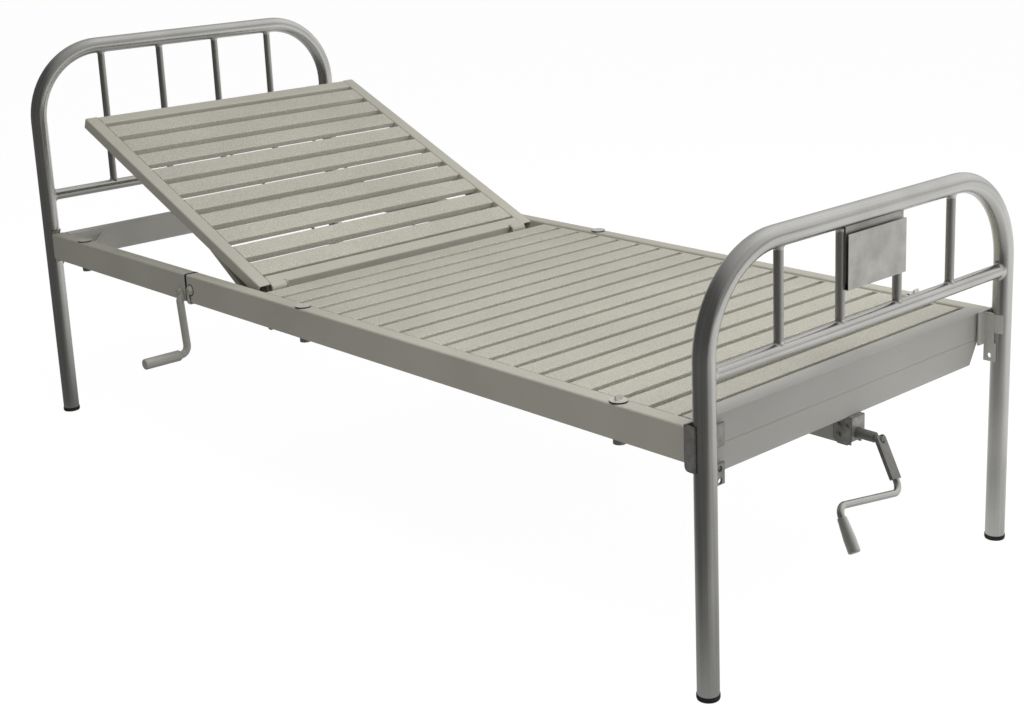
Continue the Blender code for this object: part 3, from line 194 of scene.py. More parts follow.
# Crank, in axes with the fold pin as origin and the arm hanging down
CRANK_SPIN = math.radians(9.3)
CRANK_ARM = 0.0705
CRANK_W = 0.024
CRANK_T = 0.007
CRANK_TOP = 0.0065
CRANK_ROUND = 0.0068
CRANK_LOW_ROUND = 0.0015
CRANK_SLOT = 0.010
CRANK_SLOT_DEPTH = 0.009
CRANK_PIN_R = 0.0024
ROD_R = 0.006
ROD_BEND = 0.018
ROD_DROP = 0.0923
ROD_THROW = 0.1715
GRIP_L = 0.058
GRIP_TAPER = 0.035
GRIP_TOP_R = 0.0078
GRIP_END_R = 0.0101
GRIP_ROUND = 0.003
GRIP_MOUTH = 0.0004
GRIP_EDGE = 0.0006

# Screw
SCREW_R = 0.008
SHAFT_R = 0.009
COLLAR_R = 0.0125
COLLAR_L = 0.014
THREAD_LEAD = 0.010
THREAD_DEPTH = 0.0012
THREAD_STEPS = 16  # points in one turn
THREAD_LOOPS = 8  # loops in one lead
THREAD_STARTS = 2
THREAD_FLANK = 1.6
TONGUE_R = 0.0047
SCREW_EDGE = 0.0005
DRIVE_SHEET = 0.003

# Small fittings
GAP = 0.0003
WELD_SPREAD = 0.006
WELD_RISE = 0.006
WELD_SIDEWAYS = 3  # spreads this many times less over the rail's sides
WELD_WIDEST = 0.96  # of the rail's radius
LEG_WELD_SPREAD = 0.008
BOLT_R = 0.0042
BOLT_H = 0.0028
BOLT_CHAMFER = (0.85, 0.8)  # shares of its radius and height
DRIVE_BOLTS = ((0.30, 0.66), (0.72, 0.66), (0.30, 0.30))  # shares of the bracket's length and height
LEG_BOLT_BELOW = 0.016
LEG_BOLT_ABOVE = 0.002
WASHER_R = 0.0056
WASHER_T = 0.0008
GUSSET_T = 0.002
GUSSET_ON_BAR = 0.089  # along the head end bar, from the rail
GUSSET_ON_RAIL = 0.074
GUSSET_TOP = (0.4316, 0.4000)  # its upper edge at the bar and at the rail
GUSSET_LOW = 0.385
FERRULE_H = 0.0088
FERRULE_WALL = 0.0010
FERRULE_RING = 0.0004
FERRULE_GROOVE = 0.6  # share of its height
SEAM_END = 0.003
SEAM_X = (0.0022, 0.0008)  # behind the apron's face
SEAM_Z = (-0.001, 0.002)  # from the apron's top
SEAM_ROUND = 0.0004
SPOT_WELD = ((0, 0), (0.0030, 0), (0.0024, 0.0007), (0, 0.0010))  # (radius, height)
SPOT_WELDS_UP = (0.12, 0.5, 0.88)  # shares of the pocket's height
SPOT_WELD_ASIDE = 0.004
# Dark sheet at the back of the chart pocket: painted shade
SHADE_SHEET_T = 0.0007
SHADE_SHEET_LIFT = 0.01
SHADE_SHEET_ROUND = 0.0002
SPLICE_LINE = 0.0042  # black ring in the joint of the rails: painted shade in the gap
SPLICE_PROUD = 0.0005
SPLICE_EYE_R = 0.0128
SADDLE_EYE_R = 0.011
EYE_RIVET_R = 0.0042
EYE_RIVET_H = 0.0012
EYE_RIVET_EDGE = (0.8, 0.7)  # shares of its radius and height
STRAP_T = 0.0018
STRAP_Z = (0.4045, 0.4390)
STRAP_TURN = (196, 312)  # degrees round the leg

# Camera, solved from the bed's own corners in the photograph
PHOTO_W, PHOTO_H = 1024, 719
CAMERA_FROM_MIDDLE = Vector((2.5505, -2.1165, 1.2836))  # from the point under the legs' middle
CAMERA_AZIMUTH = math.radians(46.42)
CAMERA_ELEVATION = math.radians(14.21)
CAMERA_ROLL = math.radians(-1.96)
FOCAL_PX = 1635.1
CENTRE_PX = (572.0, 260.7)
SENSOR_MM = 36.0

# Lamps: name, watts, size, place and the point that it faces
LAMPS = (
    ("overhead softbox", 53.0, (2.6, 2.0), (1.15, -0.15, 2.7), (0.45, 0.0, 0.42)),
    ("side softbox", 29.0, (1.8, 1.2), (2.1, 2.3, 0.95), (-0.3, 0.0, 0.42)),
)
AMBIENT = 0.30

# The studio that metal mirrors, white at its brightest: (closeness to the brightest direction, grey)
STUDIO_BRIGHT = Vector((0.10, 0.80, 0.58))
STUDIO_GREYS = ((0.0, 0.10), (0.40, 0.40), (0.75, 0.62), (0.93, 1.0))

# Floor: (metres along the way towards its brighter side, grey that metal mirrors)
FLOOR_COLOUR = (0.72, 0.72, 0.72, 1)
FLOOR_WHITE = 1.12
FLOOR_WHITE_SHARE = 0.85  # the rest of what the camera sees is the lit floor with the bed's shadow
FLOOR_BRIGHT_WAY = Vector((0.15, 0.99, 0.0))
FLOOR_GREYS = ((-0.9, 0.12), (-0.65, 0.14), (-0.2, 0.42), (0.3, 0.52), (1.2, 1.0))
FLOOR_HALF = 14.0


# Meshes


def arc(centre, radius, start, end, steps):
    """Points on an arc, with the angles in degrees."""
    points = []
    for i in range(steps + 1):
        angle = math.radians(start + (end - start) * i / steps)
        points.append((centre[0] + radius * math.cos(angle), centre[1] + radius * math.sin(angle)))
    return points


def rounded_box(u0, u1, v0, v1, radius):
    """The outline of a rectangle with round corners."""
    corners = [
        ((u1 - radius, v0 + radius), -90),
        ((u1 - radius, v1 - radius), 0),
        ((u0 + radius, v1 - radius), 90),
        ((u0 + radius, v0 + radius), 180),
    ]
    return [p for centre, start in corners for p in arc(centre, radius, start, start + 90, CORNER_STEPS)]


def place_outline(outline, axis, distance):
    """An outline as points in space: along X it is (y, z), along Y it is (x, z), along Z it is (x, y)."""
    way = "XYZ".index(axis)
    return [Vector((*point[:way], distance, *point[way:])) for point in outline]


def loft(bm, loops, cyclic=False, caps=True):
    """Skins loops that have the same number of points, keeps each point's turn, and returns the bmesh."""
    turns = bm.verts.layers.float_vector.get(TURN) or bm.verts.layers.float_vector.new(TURN)
    rows = [[bm.verts.new(point) for point in loop] for loop in loops]
    for row in rows:
        for i, vert in enumerate(row):
            angle = math.tau * i / len(row)
            vert[turns] = (math.cos(angle), math.sin(angle), 0)
    pairs = list(zip(rows, rows[1:]))
    if cyclic:
        pairs.append((rows[-1], rows[0]))
    for a, b in pairs:
        for i in range(len(a)):
            j = (i + 1) % len(a)
            bm.faces.new((a[i], a[j], b[j], b[i]))
    if caps and not cyclic:
        bm.faces.new(rows[0])
        bm.faces.new(rows[-1])
    return bm


def skin(bm, rows, axis, cyclic=False):
    """Skins (outline, distance along the axis) pairs."""
    return loft(bm, [place_outline(outline, axis, distance) for outline, distance in rows], cyclic)


def sweep(bm, outline, axis, start, end):
    return skin(bm, [(outline, start), (outline, end)], axis)


def spans(low, high, axis):
    """A block's extent across an axis, as two low and two high numbers, and its extent along it."""
    way = "XYZ".index(axis)
    (u0, v0), (u1, v1) = [[corner[i] for i in range(3) if i != way] for corner in (low, high)]
    return (u0, u1, v0, v1), (low[way], high[way])


def soft_block(bm, low, high, radius, axis):
    """A block with round edges along one axis and softened ends."""
    (u0, u1, v0, v1), (start, end) = spans(low, high, axis)
    soft = radius * BLOCK_SOFT
    outline = rounded_box(u0, u1, v0, v1, radius)
    inset = rounded_box(u0 + soft, u1 - soft, v0 + soft, v1 - soft, radius / 2)
    rows = [(inset, start), (outline, start + soft), (outline, end - soft), (inset, end)]
    return skin(bm, rows, axis)


def hollow_bar(bm, low, high, axis, radius):
    """A rectangular tube with round edges, open at both ends."""
    (u0, u1, v0, v1), (start, end) = spans(low, high, axis)
    wall = RAIL_WALL
    outer = rounded_box(u0, u1, v0, v1, radius)
    inner = rounded_box(u0 + wall, u1 - wall, v0 + wall, v1 - wall, max(radius - wall, wall / 2))
    return skin(bm, [(outer, start), (outer, end), (inner, end), (inner, start)], axis, cyclic=True)


def circle(centre, u, v, radius, sides):
    turns = [math.tau * i / sides for i in range(sides)]
    return [centre + (u * math.cos(t) + v * math.sin(t)) * radius for t in turns]


def across_axes(direction):
    """Two directions square to the given one."""
    helper = Vector((0, 0, 1)) if abs(direction.z) < UPRIGHT else Vector((1, 0, 0))
    u = direction.cross(helper).normalized()
    return u, direction.cross(u).normalized()


def tube(bm, path, radius, bore=0.0, sides=TUBE_SIDES):
    """A round bar along a path, or a tube with open ends where it has a bore."""
    path = [Vector(point) for point in path]
    steps = [(b - a).normalized() for a, b in zip(path, path[1:])]
    u, v = across_axes(steps[0])
    rings = {radius: [], bore: []}
    for i, point in enumerate(path):
        before, after = steps[max(i - 1, 0)], steps[min(i, len(steps) - 1)]
        along = (before + after).normalized()
        u = (u - along * u.dot(along)).normalized()
        v = along.cross(u)
        for size in rings:
            rings[size].append(circle(point, u, v, size, sides))
    if bore:
        return loft(bm, rings[radius] + rings[bore][::-1], cyclic=True)
    return loft(bm, rings[radius])


def turned(bm, profile, base, axis, sides=ROD_SIDES):
    """A turned piece: profile holds (radius, distance along the axis) from one end to the other."""
    axis = Vector(axis).normalized()
    u, v = across_axes(axis)
    base = Vector(base)
    rings = [circle(base + axis * up, u, v, max(radius, SMALLEST_R), sides) for radius, up in profile]
    return loft(bm, rings)


def rounded_path(corners, radius, steps=BEND_STEPS):
    """A path whose inner corners are arcs."""
    corners = [Vector(corner) for corner in corners]
    path = [corners[0]]
    for a, b, c in zip(corners, corners[1:], corners[2:]):
        back, on = (a - b).normalized(), (c - b).normalized()
        half = back.angle(on) / 2
        centre = b + (back + on).normalized() * radius / math.sin(half)
        start = b + back * radius / math.tan(half)
        turn = back.cross(on).normalized()
        sweep_angle = math.pi - 2 * half
        for i in range(steps + 1):
            spin = Matrix.Rotation(-sweep_angle * i / steps, 3, turn)
            path.append(centre + spin @ (start - centre))
    return path + [corners[-1]]


def fillet(bm, rail_point, axis, along, bar_r, rail_r, spread, rise):
    """The hollow weld round a bar that stands on a round rail. axis leaves the rail, along follows it."""
    across = axis.cross(along)
    loops = []
    for i in range(WELD_STEPS + 1):
        turn = math.pi / 2 * i / WELD_STEPS
        out = spread * (1 - math.sin(turn))
        up = rise * (1 - math.cos(turn))
        loop = []
        for k in range(ROD_SIDES):
            angle = math.tau * k / ROD_SIDES
            a = (bar_r + out) * math.cos(angle)
            c = min(bar_r + out / WELD_SIDEWAYS, rail_r * WELD_WIDEST) * math.sin(angle)
            off_rail = math.sqrt(rail_r**2 - c**2) + up - GAP
            loop.append(rail_point + along * a + across * c + axis * off_rail)
        loops.append(loop)
    loft(bm, loops, caps=False)


def bolt(bm, base, axis):
    """A hexagon head with a chamfer on a washer."""
    axis = Vector(axis).normalized()
    base = Vector(base)
    turned(bm, [(0, 0), (WASHER_R, 0), (WASHER_R, WASHER_T), (0, WASHER_T)], base, axis)
    top_r, side_h = BOLT_R * BOLT_CHAMFER[0], BOLT_H * BOLT_CHAMFER[1]
    head = [(0, 0), (BOLT_R, 0), (BOLT_R, side_h), (top_r, BOLT_H), (0, BOLT_H)]
    turned(bm, head, base + axis * WASHER_T, axis, HEX_SIDES)


def round_edges(bm, width):
    """Rounds every sharp edge over."""
    sharp = [e for e in bm.edges if e.is_manifold and e.calc_face_angle(0) > SHARP]
    bmesh.ops.bevel(bm, geom=sharp, offset=width, segments=2, profile=0.5, affect="EDGES")


# Materials


def add_node(tree, kind, **values):
    """A shader node with values on its inputs, whose names are given with _ for a space."""
    made = tree.nodes.new(f"ShaderNode{kind}")
    for name, value in values.items():
        made.inputs[name.replace("_", " ")].default_value = value
    return made


def link(start, end):
    start.id_data.links.new(start, end)


def dot_product(tree, place, direction):
    """How far a place lies along a direction, which is a vector or a socket."""
    made = add_node(tree, "VectorMath")
    made.operation = "DOT_PRODUCT"
    link(place, made.inputs[0])
    if isinstance(direction, Vector):
        made.inputs[1].default_value = direction.normalized()
    else:
        link(direction, made.inputs[1])
    return made.outputs["Value"]


def new_material(name, metallic=0.0):
    made = bpy.data.materials.new(name)
    made.use_nodes = True
    shader = made.node_tree.nodes["Principled BSDF"]
    shader.inputs["Metallic"].default_value = metallic
    return made, made.node_tree, shader


def noise(tree, scale, detail):
    """Noise over the piece's own coordinates, in patches of about 1 / scale metres."""
    place = add_node(tree, "TexCoord")
    made = add_node(tree, "TexNoise", Scale=scale, Detail=detail)
    link(place.outputs["Object"], made.inputs["Vector"])
    return made.outputs["Fac"]


def streak_noise(tree):
    """Noise that runs along tubes and bars as brush marks do."""
    place = add_node(tree, "TexCoord")
    turn = add_node(tree, "Attribute")
    turn.attribute_name = TURN
    drift = add_node(tree, "VectorMath")
    drift.operation = "MULTIPLY_ADD"
    drift.inputs[1].default_value = STREAK_DRIFT
    link(place.outputs["Object"], drift.inputs[0])
    link(turn.outputs["Vector"], drift.inputs[2])
    made = add_node(tree, "TexNoise", Scale=STREAK_SCALE, Detail=STREAK_DETAIL)
    link(drift.outputs["Vector"], made.inputs["Vector"])
    return made.outputs["Fac"]


def scaled(colour, factor):
    return tuple(part * factor for part in colour)


def shades(tree, value, colour, dark, light):
    """A colour that follows a noise from a dark factor to a light one."""
    made = add_node(tree, "ValToRGB")
    low, high = made.color_ramp.elements
    low.position, high.position = NOISE_LOW, NOISE_HIGH
    low.color, high.color = (*scaled(colour, dark), 1), (*scaled(colour, light), 1)
    link(value, made.inputs["Fac"])
    return made.outputs["Color"]


def speckled(tree, tone, value, dark, light):
    """A tone made darker and lighter by a noise."""
    made = add_node(tree, "Mix", Factor=1.0)
    made.data_type = "RGBA"
    made.blend_type = "MULTIPLY"
    link(tone, made.inputs[MIX_A])
    link(shades(tree, value, (1, 1, 1), dark, light), made.inputs[MIX_B])
    return made.outputs[MIX_RESULT]


def edges(tree, radius, sharpest):
    """Up to sharpest along an outer or inner edge, 0 on flat or gently round faces."""
    soft = add_node(tree, "Bevel", Radius=radius)
    soft.samples = EDGE_SAMPLES
    plain = add_node(tree, "NewGeometry")
    agreement = dot_product(tree, soft.outputs["Normal"], plain.outputs["Normal"])
    made = add_node(tree, "MapRange", From_Min=EDGE_FLAT, From_Max=EDGE_FULL, To_Max=sharpest)
    link(agreement, made.inputs["Value"])
    return made.outputs["Result"]


def edges_wear_and_painted_light(tree, tone, colour, edge):
    """A tone that changes along edges: paler for wear with a painted highlight, darker for painted shade, as the
    edge's tone says.
    """
    width, share, factor = edge
    made = add_node(tree, "Mix")
    made.data_type = "RGBA"
    link(edges(tree, width, share), made.inputs["Factor"])
    link(tone, made.inputs[MIX_A])
    made.inputs[MIX_B].default_value = (*scaled(colour, factor), 1)
    return made.outputs[MIX_RESULT]


def dress(tree, shader, tone, dulled_by, rough, stray, bumped_by, depth):
    """Gives the shader its tone, a roughness that strays with a noise, and a bump."""
    link(tone, shader.inputs["Base Color"])
    dull = add_node(
        tree, "MapRange", From_Min=NOISE_LOW, From_Max=NOISE_HIGH,
        To_Min=rough - stray[0], To_Max=rough + stray[1],
    )
    link(dulled_by, dull.inputs["Value"])
    link(dull.outputs["Result"], shader.inputs["Roughness"])
    bump = add_node(tree, "Bump", Distance=depth)
    link(bumped_by, bump.inputs["Height"])
    link(bump.outputs["Normal"], shader.inputs["Normal"])


def painted(name, colour, rough, grain, depth, speckle):
    """A powder coat: an uneven tone, fine grain that shows as specks, and edges paler for wear with a painted
    highlight.
    """
    made, tree, shader = new_material(name)
    broad = noise(tree, PAINT_PATCH, CLOUD_DETAIL)
    fine = noise(tree, grain, SKIN_DETAIL)
    tone = shades(tree, broad, colour, *PAINT_TONES)
    tone = speckled(tree, tone, fine, 1 - speckle, 1 + speckle)
    tone = edges_wear_and_painted_light(tree, tone, colour, PAINT_EDGE)
    dress(tree, shader, tone, fine, rough, PAINT_STRAY, fine, depth)
    return made


def metal(
    name, colour, rough, grain, depth,
    metallic=1.0, patch=9.0, uneven=0.065, edge=METAL_EDGE, streaks=0.0,
):
    """Bare or plated steel: cloudy tone, fine grain, edges paler for wear with a painted highlight and darker as
    painted shade where the edge's tone is below 1, and brush marks where it has streaks.
    """
    made, tree, shader = new_material(name, metallic)
    cloud = noise(tree, patch, METAL_DETAIL)
    scratch = noise(tree, grain, CLOUD_DETAIL)
    tone = shades(tree, cloud, colour, 1 - uneven, 1 + uneven)
    tone = speckled(tree, tone, scratch, *METAL_GRAIN)
    tone = edges_wear_and_painted_light(tree, tone, colour, edge)
    dulled_by, stray = scratch, METAL_STRAY
    if streaks:
        dulled_by, stray = streak_noise(tree), STREAK_STRAY
        tone = speckled(tree, tone, dulled_by, 1 - streaks, 1 + streaks)
    dress(tree, shader, tone, dulled_by, rough, stray, scratch, depth)
    return made


def moulded(name, colour, rough, depth):
    """Rubber or plastic with a dull moulded skin, paler along edges for wear with a painted highlight."""
    made, tree, shader = new_material(name)
    cloud = noise(tree, MOULD_PATCH, CLOUD_DETAIL)
    skin_noise = noise(tree, MOULD_GRAIN, SKIN_DETAIL)
    tone = shades(tree, cloud, colour, *MOULD_TONES)
    tone = edges_wear_and_painted_light(tree, tone, colour, MOULD_EDGE)
    dress(tree, shader, tone, skin_noise, rough, MOULD_STRAY, skin_noise, depth)
    return made


PAINT = (0.480, 0.465, 0.395)
slat_paint = painted("slat powder coat", PAINT, 0.55, 460.0, 0.00018, 0.27)
rail_paint = painted("rail powder coat", scaled(PAINT, 0.97), 0.48, 900.0, 0.00006, 0.04)
END_PAINT = (0.430, 0.423, 0.395)
end_paint = painted("end bar powder coat", END_PAINT, 0.46, 900.0, 0.00006, 0.04)
# Painted light: the end bar paint made lighter for the head end bar and its gussets, standing in for light on
# their shaded faces
head_paint_painted_light = painted("head bar powder coat painted lighter", scaled(END_PAINT, 1.4), 0.46, 900.0, 0.00006, 0.04)
looks = {
    "brushed_tube": metal("satin tube", (0.53, 0.525, 0.50), 0.28, 1100.0, 0.000006, streaks=0.13),
    "brushed_sheet": metal(
        "satin sheet", (0.47, 0.461, 0.432), 0.40, 420.0, 0.00003, patch=26.0, uneven=0.16,
    ),
    "grey_beige_paint": rail_paint,
    "dark_zinc_plate": metal(
        "dark zinc", (0.36, 0.356, 0.335), 0.44, 420.0, 0.00005, metallic=0.8, uneven=0.25,
    ),
    "grey_lever_paint": metal("lever steel", (0.47, 0.46, 0.42), 0.42, 600.0, 0.00005, metallic=0.35),
    "bright_crank_rod": metal("plated rod", (0.52, 0.515, 0.49), 0.28, 1100.0, 0.000006, streaks=0.10),
    "black_rubber": moulded("black rubber", (0.018, 0.018, 0.018), 0.72, 0.00008),
    "pale_cap": painted("pale cap", (0.50, 0.49, 0.445), 0.40, 700.0, 0.00004, 0.05),
    "bronze_nut": metal("bronze", (0.50, 0.33, 0.15), 0.36, 420.0, 0.00004),
    "white_nylon": moulded("white nylon", (0.68, 0.67, 0.63), 0.5, 0.00004),
}
bar_steel = metal("satin bar", (0.47, 0.465, 0.443), 0.50, 900.0, 0.00001, streaks=0.10)
# Blotchy zinc for the brackets, its edges darkened nearly to black as painted shade that outlines them
zinc_with_painted_edge_shade = metal(
    "zinc with painted edge shade", (0.36, 0.356, 0.335), 0.46, 420.0, 0.00006,
    metallic=0.6, patch=70.0, uneven=0.2, edge=EDGE_PAINTED_SHADE,
)
crank_steel = metal(
    "crank steel", (0.21, 0.207, 0.19), 0.44, 600.0, 0.00005,
    metallic=0.6, patch=40.0, uneven=0.15,
)
grip_steel = metal("grip steel", (0.50, 0.495, 0.465), 0.34, 600.0, 0.00002, metallic=0.78)
# The far foot bracket and its strap get a paler steel than the near bracket's zinc: painted light for the light on
# the far side
far_bracket_painted_light = metal("far bracket painted light", (0.66, 0.65, 0.61), 0.42, 420.0, 0.00004, metallic=0.5)
inner_dark = moulded("shadowed sleeve", (0.022, 0.022, 0.020), 0.7, 0.00004)


def add_object(name, data):
    made = bpy.data.objects.new(name, data)
    bpy.context.scene.collection.objects.link(made)
    return made


def piece(name, bm, body, slot, stands_for=(), look=None):
    """Turns a bmesh into a smooth shaded piece that rides on a body."""
    bmesh.ops.remove_doubles(bm, verts=bm.verts, dist=SAME_PLACE)
    bmesh.ops.recalc_face_normals(bm, faces=bm.faces)
    mesh = bpy.data.meshes.new(name)
    bm.to_mesh(mesh)
    bm.free()
    mesh.shade_smooth()
    mesh.set_sharp_from_angle(angle=SHARP)
    made = add_object(name, mesh)
    mesh.materials.append(look or looks[slot])
    made.modifiers.new("flat faces stay flat", "WEIGHTED_NORMAL").keep_sharp = True
    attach(made, body)
    if stands_for:
        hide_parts(*stands_for)


def softened(node, width, look=None):
    """A copy of a CAD node with its sharp edges rounded, which stands for the node."""
    bm = bmesh.new()
    source = frame["nodes"][node].data
    corners = [bm.verts.new(vertex.co) for vertex in source.vertices]
    for face in source.polygons:
        bm.faces.new([corners[i] for i in face.vertices])
    bmesh.ops.remove_doubles(bm, verts=bm.verts, dist=2 * SAME_PLACE)
    bmesh.ops.dissolve_limit(bm, angle_limit=FLAT, verts=bm.verts, edges=bm.edges)
    round_edges(bm, width)
    piece(f"{node}_rounded", bm, body_of[node], slot_of[node], [node], look)


# Tube ends


def middle(node):
    low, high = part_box(node)
    return (low + high) / 2


def half_size(node):
    low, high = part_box(node)
    return (high - low) / 2


def make_end(end):
    """The arch, mid rail and upright bars of one end, with the welds between them."""
    arch, rail = f"{end}_arch", f"{end}_mid_rail"
    low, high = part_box(arch)
    tube_r = half_size(arch).x
    x = middle(arch).x
    leg_y = high.y - tube_r
    top = high.z - tube_r
    corners = [(x, -leg_y, low.z), (x, -leg_y, top), (x, leg_y, top), (x, leg_y, low.z)]
    made = tube(bmesh.new(), rounded_path(corners, BEND_R), tube_r, tube_r - RAIL_WALL)
    piece(f"{end}_arch_tube", made, "frame", "brushed_tube", [arch])

    mid_r = half_size(rail).z
    mid_z = middle(rail).z
    made = tube(bmesh.new(), [(x, -leg_y, mid_z), (x, leg_y, mid_z)], mid_r)
    piece(f"{end}_mid_tube", made, "frame", "brushed_tube", [rail])

    welds = bmesh.new()
    up, along = Vector((0, 0, 1)), Vector((0, 1, 0))
    for bar in sorted(node for node in frame["nodes"] if node.startswith(f"{end}_bar_")):
        bar_r = half_size(bar).y
        y = middle(bar).y
        made = tube(bmesh.new(), [(x, y, mid_z), (x, y, top)], bar_r, sides=ROD_SIDES)
        piece(f"{bar}_tube", made, "frame", "brushed_tube", [bar], bar_steel)
        fillet(welds, Vector((x, y, mid_z)), up, along, bar_r, mid_r, WELD_SPREAD, WELD_RISE)
        fillet(welds, Vector((x, y, top)), -up, along, bar_r, tube_r, WELD_SPREAD, WELD_RISE)
    for side in (-1, 1):
        leg = Vector((x, side * leg_y, mid_z))
        fillet(welds, leg, -side * along, up, mid_r, tube_r, LEG_WELD_SPREAD, LEG_WELD_SPREAD)
    piece(f"{end}_welds", welds, "frame", "brushed_tube")

    for word in ("near", "far"):
        make_foot_cap(f"foot_cap_{end}_{word}", tube_r)


def make_foot_cap(node, leg_r):
    """A rubber ferrule with a rounded foot, a groove and a soft upper lip."""
    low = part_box(node)[0]
    h, wall, ring = FERRULE_H, FERRULE_WALL, FERRULE_RING
    r = leg_r + wall
    profile = [(0, 0), (r - 2 * wall, 0), (r - wall, ring), (r - ring, 4 * ring), (r, 8 * ring)]
    groove = h * FERRULE_GROOVE
    profile += [(r, groove - 2 * ring), (r - ring, groove - ring), (r - ring, groove), (r, groove + ring)]
    profile += [(r, h - ring), (r - ring, h), (r - wall, h), (r - wall, h / 2)]
    centre = middle(node)
    made = turned(bmesh.new(), profile, (centre.x, centre.y, low.z), (0, 0, 1), TUBE_SIDES)
    piece(f"{node}_ferrule", made, "frame", "black_rubber", [node])


# Painted frame


def make_rails():
    lengths = [f"{part}_rail_{word}" for word in ("near", "far") for part in ("head", "main")]
    bars = [(node, "X", RAIL_CORNER, rail_paint) for node in lengths]
    bars.append(("head_end_bar", "Y", END_BAR_CORNER, head_paint_painted_light))
    bars.append(("foot_end_bar", "Y", END_BAR_CORNER, end_paint))
    for node, axis, corner, look in bars:
        made = hollow_bar(bmesh.new(), *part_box(node), axis, corner)
        piece(f"{node}_tube", made, "frame", "grey_beige_paint", [node], look)
    softened("apron", FOLD_EDGE, end_paint)
    low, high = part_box("apron")
    bm = bmesh.new()
    seam_low = (high.x - SEAM_X[0], low.y + SEAM_END, high.z + SEAM_Z[0])
    seam_high = (high.x - SEAM_X[1], high.y - SEAM_END, high.z + SEAM_Z[1])
    soft_block(bm, seam_low, seam_high, SEAM_ROUND, "Y")
    piece("apron_seam", bm, "frame", "grey_beige_paint", (), end_paint)


def channel(x0, x1, low, top):
    """The outline of a slat: sheet folded down along both edges."""
    r = SLAT_CORNER
    outer = [(x0, low)] + arc((x0 + r, top - r), r, 180, 90, CORNER_STEPS)
    outer += arc((x1 - r, top - r), r, 90, 0, CORNER_STEPS) + [(x1, low)]
    under = top - SHEET
    inner = [(x1 - SHEET, low), (x1 - SHEET, under), (x0 + SHEET, under), (x0 + SHEET, low)]
    return outer + inner


def make_deck():
    low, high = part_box("fixed_deck")
    start, end = low.x + SHEET, high.x - SHEET
    pitch = (end + DECK_GAP - start) / DECK_SLATS
    edge_in = high.y - DECK_EDGE
    slat_low = high.z - SLAT_H
    bm = bmesh.new()
    for i in range(DECK_SLATS):
        x = start + i * pitch
        sweep(bm, channel(x, x + pitch - DECK_GAP, slat_low, high.z), "Y", -edge_in, edge_in)
    piece("deck_slats", bm, "frame", "grey_beige_paint", ["fixed_deck"], slat_paint)
    bm = bmesh.new()
    for side in (-1, 1):
        ys = sorted((side * edge_in, side * high.y))
        edge_low = (low.x, ys[0], slat_low - SHEET / 2)
        edge_high = (high.x, ys[1], high.z - SHEET / 2)
        soft_block(bm, edge_low, edge_high, RIB_ROUND, "X")
        rib = (side * DECK_RIB_Y - RIB_T / 2, side * DECK_RIB_Y + RIB_T / 2)
        soft_block(bm, (start, rib[0], low.z), (end, rib[1], low.z + RIB_H), RIB_ROUND, "X")
    piece("deck_edges_and_ribs", bm, "frame", "grey_beige_paint")


# Backrest, drawn flat from the hinge towards the head and then tilted


def backrest_axes():
    hinge = joints["backrest_tilt"]
    tilt = -math.radians(hinge["range_deg"][0])
    return Matrix.Translation(Vector(hinge["pos_m"])) @ Matrix.Rotation(tilt, 4, "Y")


def make_backrest():
    axes = backrest_axes()
    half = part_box("backrest_panel")[1].y
    inner = half - BACK_BAR_W
    top, low = BACK_TOP, BACK_TOP - BACK_T
    bm = bmesh.new()
    for side in (-1, 1):
        ys = sorted((side * inner, side * half))
        hollow_bar(bm, (-BACK_LENGTH, ys[0], low), (0, ys[1], top), "X", BACK_CORNER)
    for x0, x1 in ((-BACK_BAR_W, -GAP), (-BACK_LENGTH + GAP, -BACK_LENGTH + BACK_BAR_W)):
        hollow_bar(bm, (x0, -inner, low + GAP), (x1, inner, top - GAP), "Y", BACK_CORNER)
    for side in (-1, 1):
        tube(bm, [(0, side * SLEEVE_IN, 0), (0, side * SLEEVE_OUT, 0)], SLEEVE_R, SLEEVE_BORE)
        rib = (side * BACK_RIB_Y - RIB_T / 2, side * BACK_RIB_Y + RIB_T / 2)
        rib_low = (-BACK_LENGTH + BACK_BAR_W, rib[0], low)
        rib_high = (-BACK_BAR_W, rib[1], top - BACK_SLAT_DROP - SLAT_H)
        soft_block(bm, rib_low, rib_high, BACK_RIB_ROUND, "X")
    bm.transform(axes)
    piece("backrest_tubes", bm, "backrest", "grey_beige_paint", ["backrest_panel"])

    space = BACK_LENGTH - 2 * BACK_BAR_W - BACK_FIRST_GAP - BACK_LAST_GAP
    pitch = (space - BACK_SLAT_W) / (BACK_SLATS - 1)
    slat_top = top - BACK_SLAT_DROP
    reach = inner - BACK_SLAT_PLAY
    bm = bmesh.new()
    for i in range(BACK_SLATS):
        x = -(BACK_BAR_W + BACK_FIRST_GAP + i * pitch)
        fold = BACK_FLANGE + BACK_FLANGE_VARIES * math.sin(BACK_FLANGE_PHASE * i)
        sweep(bm, channel(x - BACK_SLAT_W, x, slat_top - fold, slat_top), "Y", -reach, reach)
    bm.transform(axes)
    piece("backrest_slats", bm, "backrest", "grey_beige_paint", (), slat_paint)


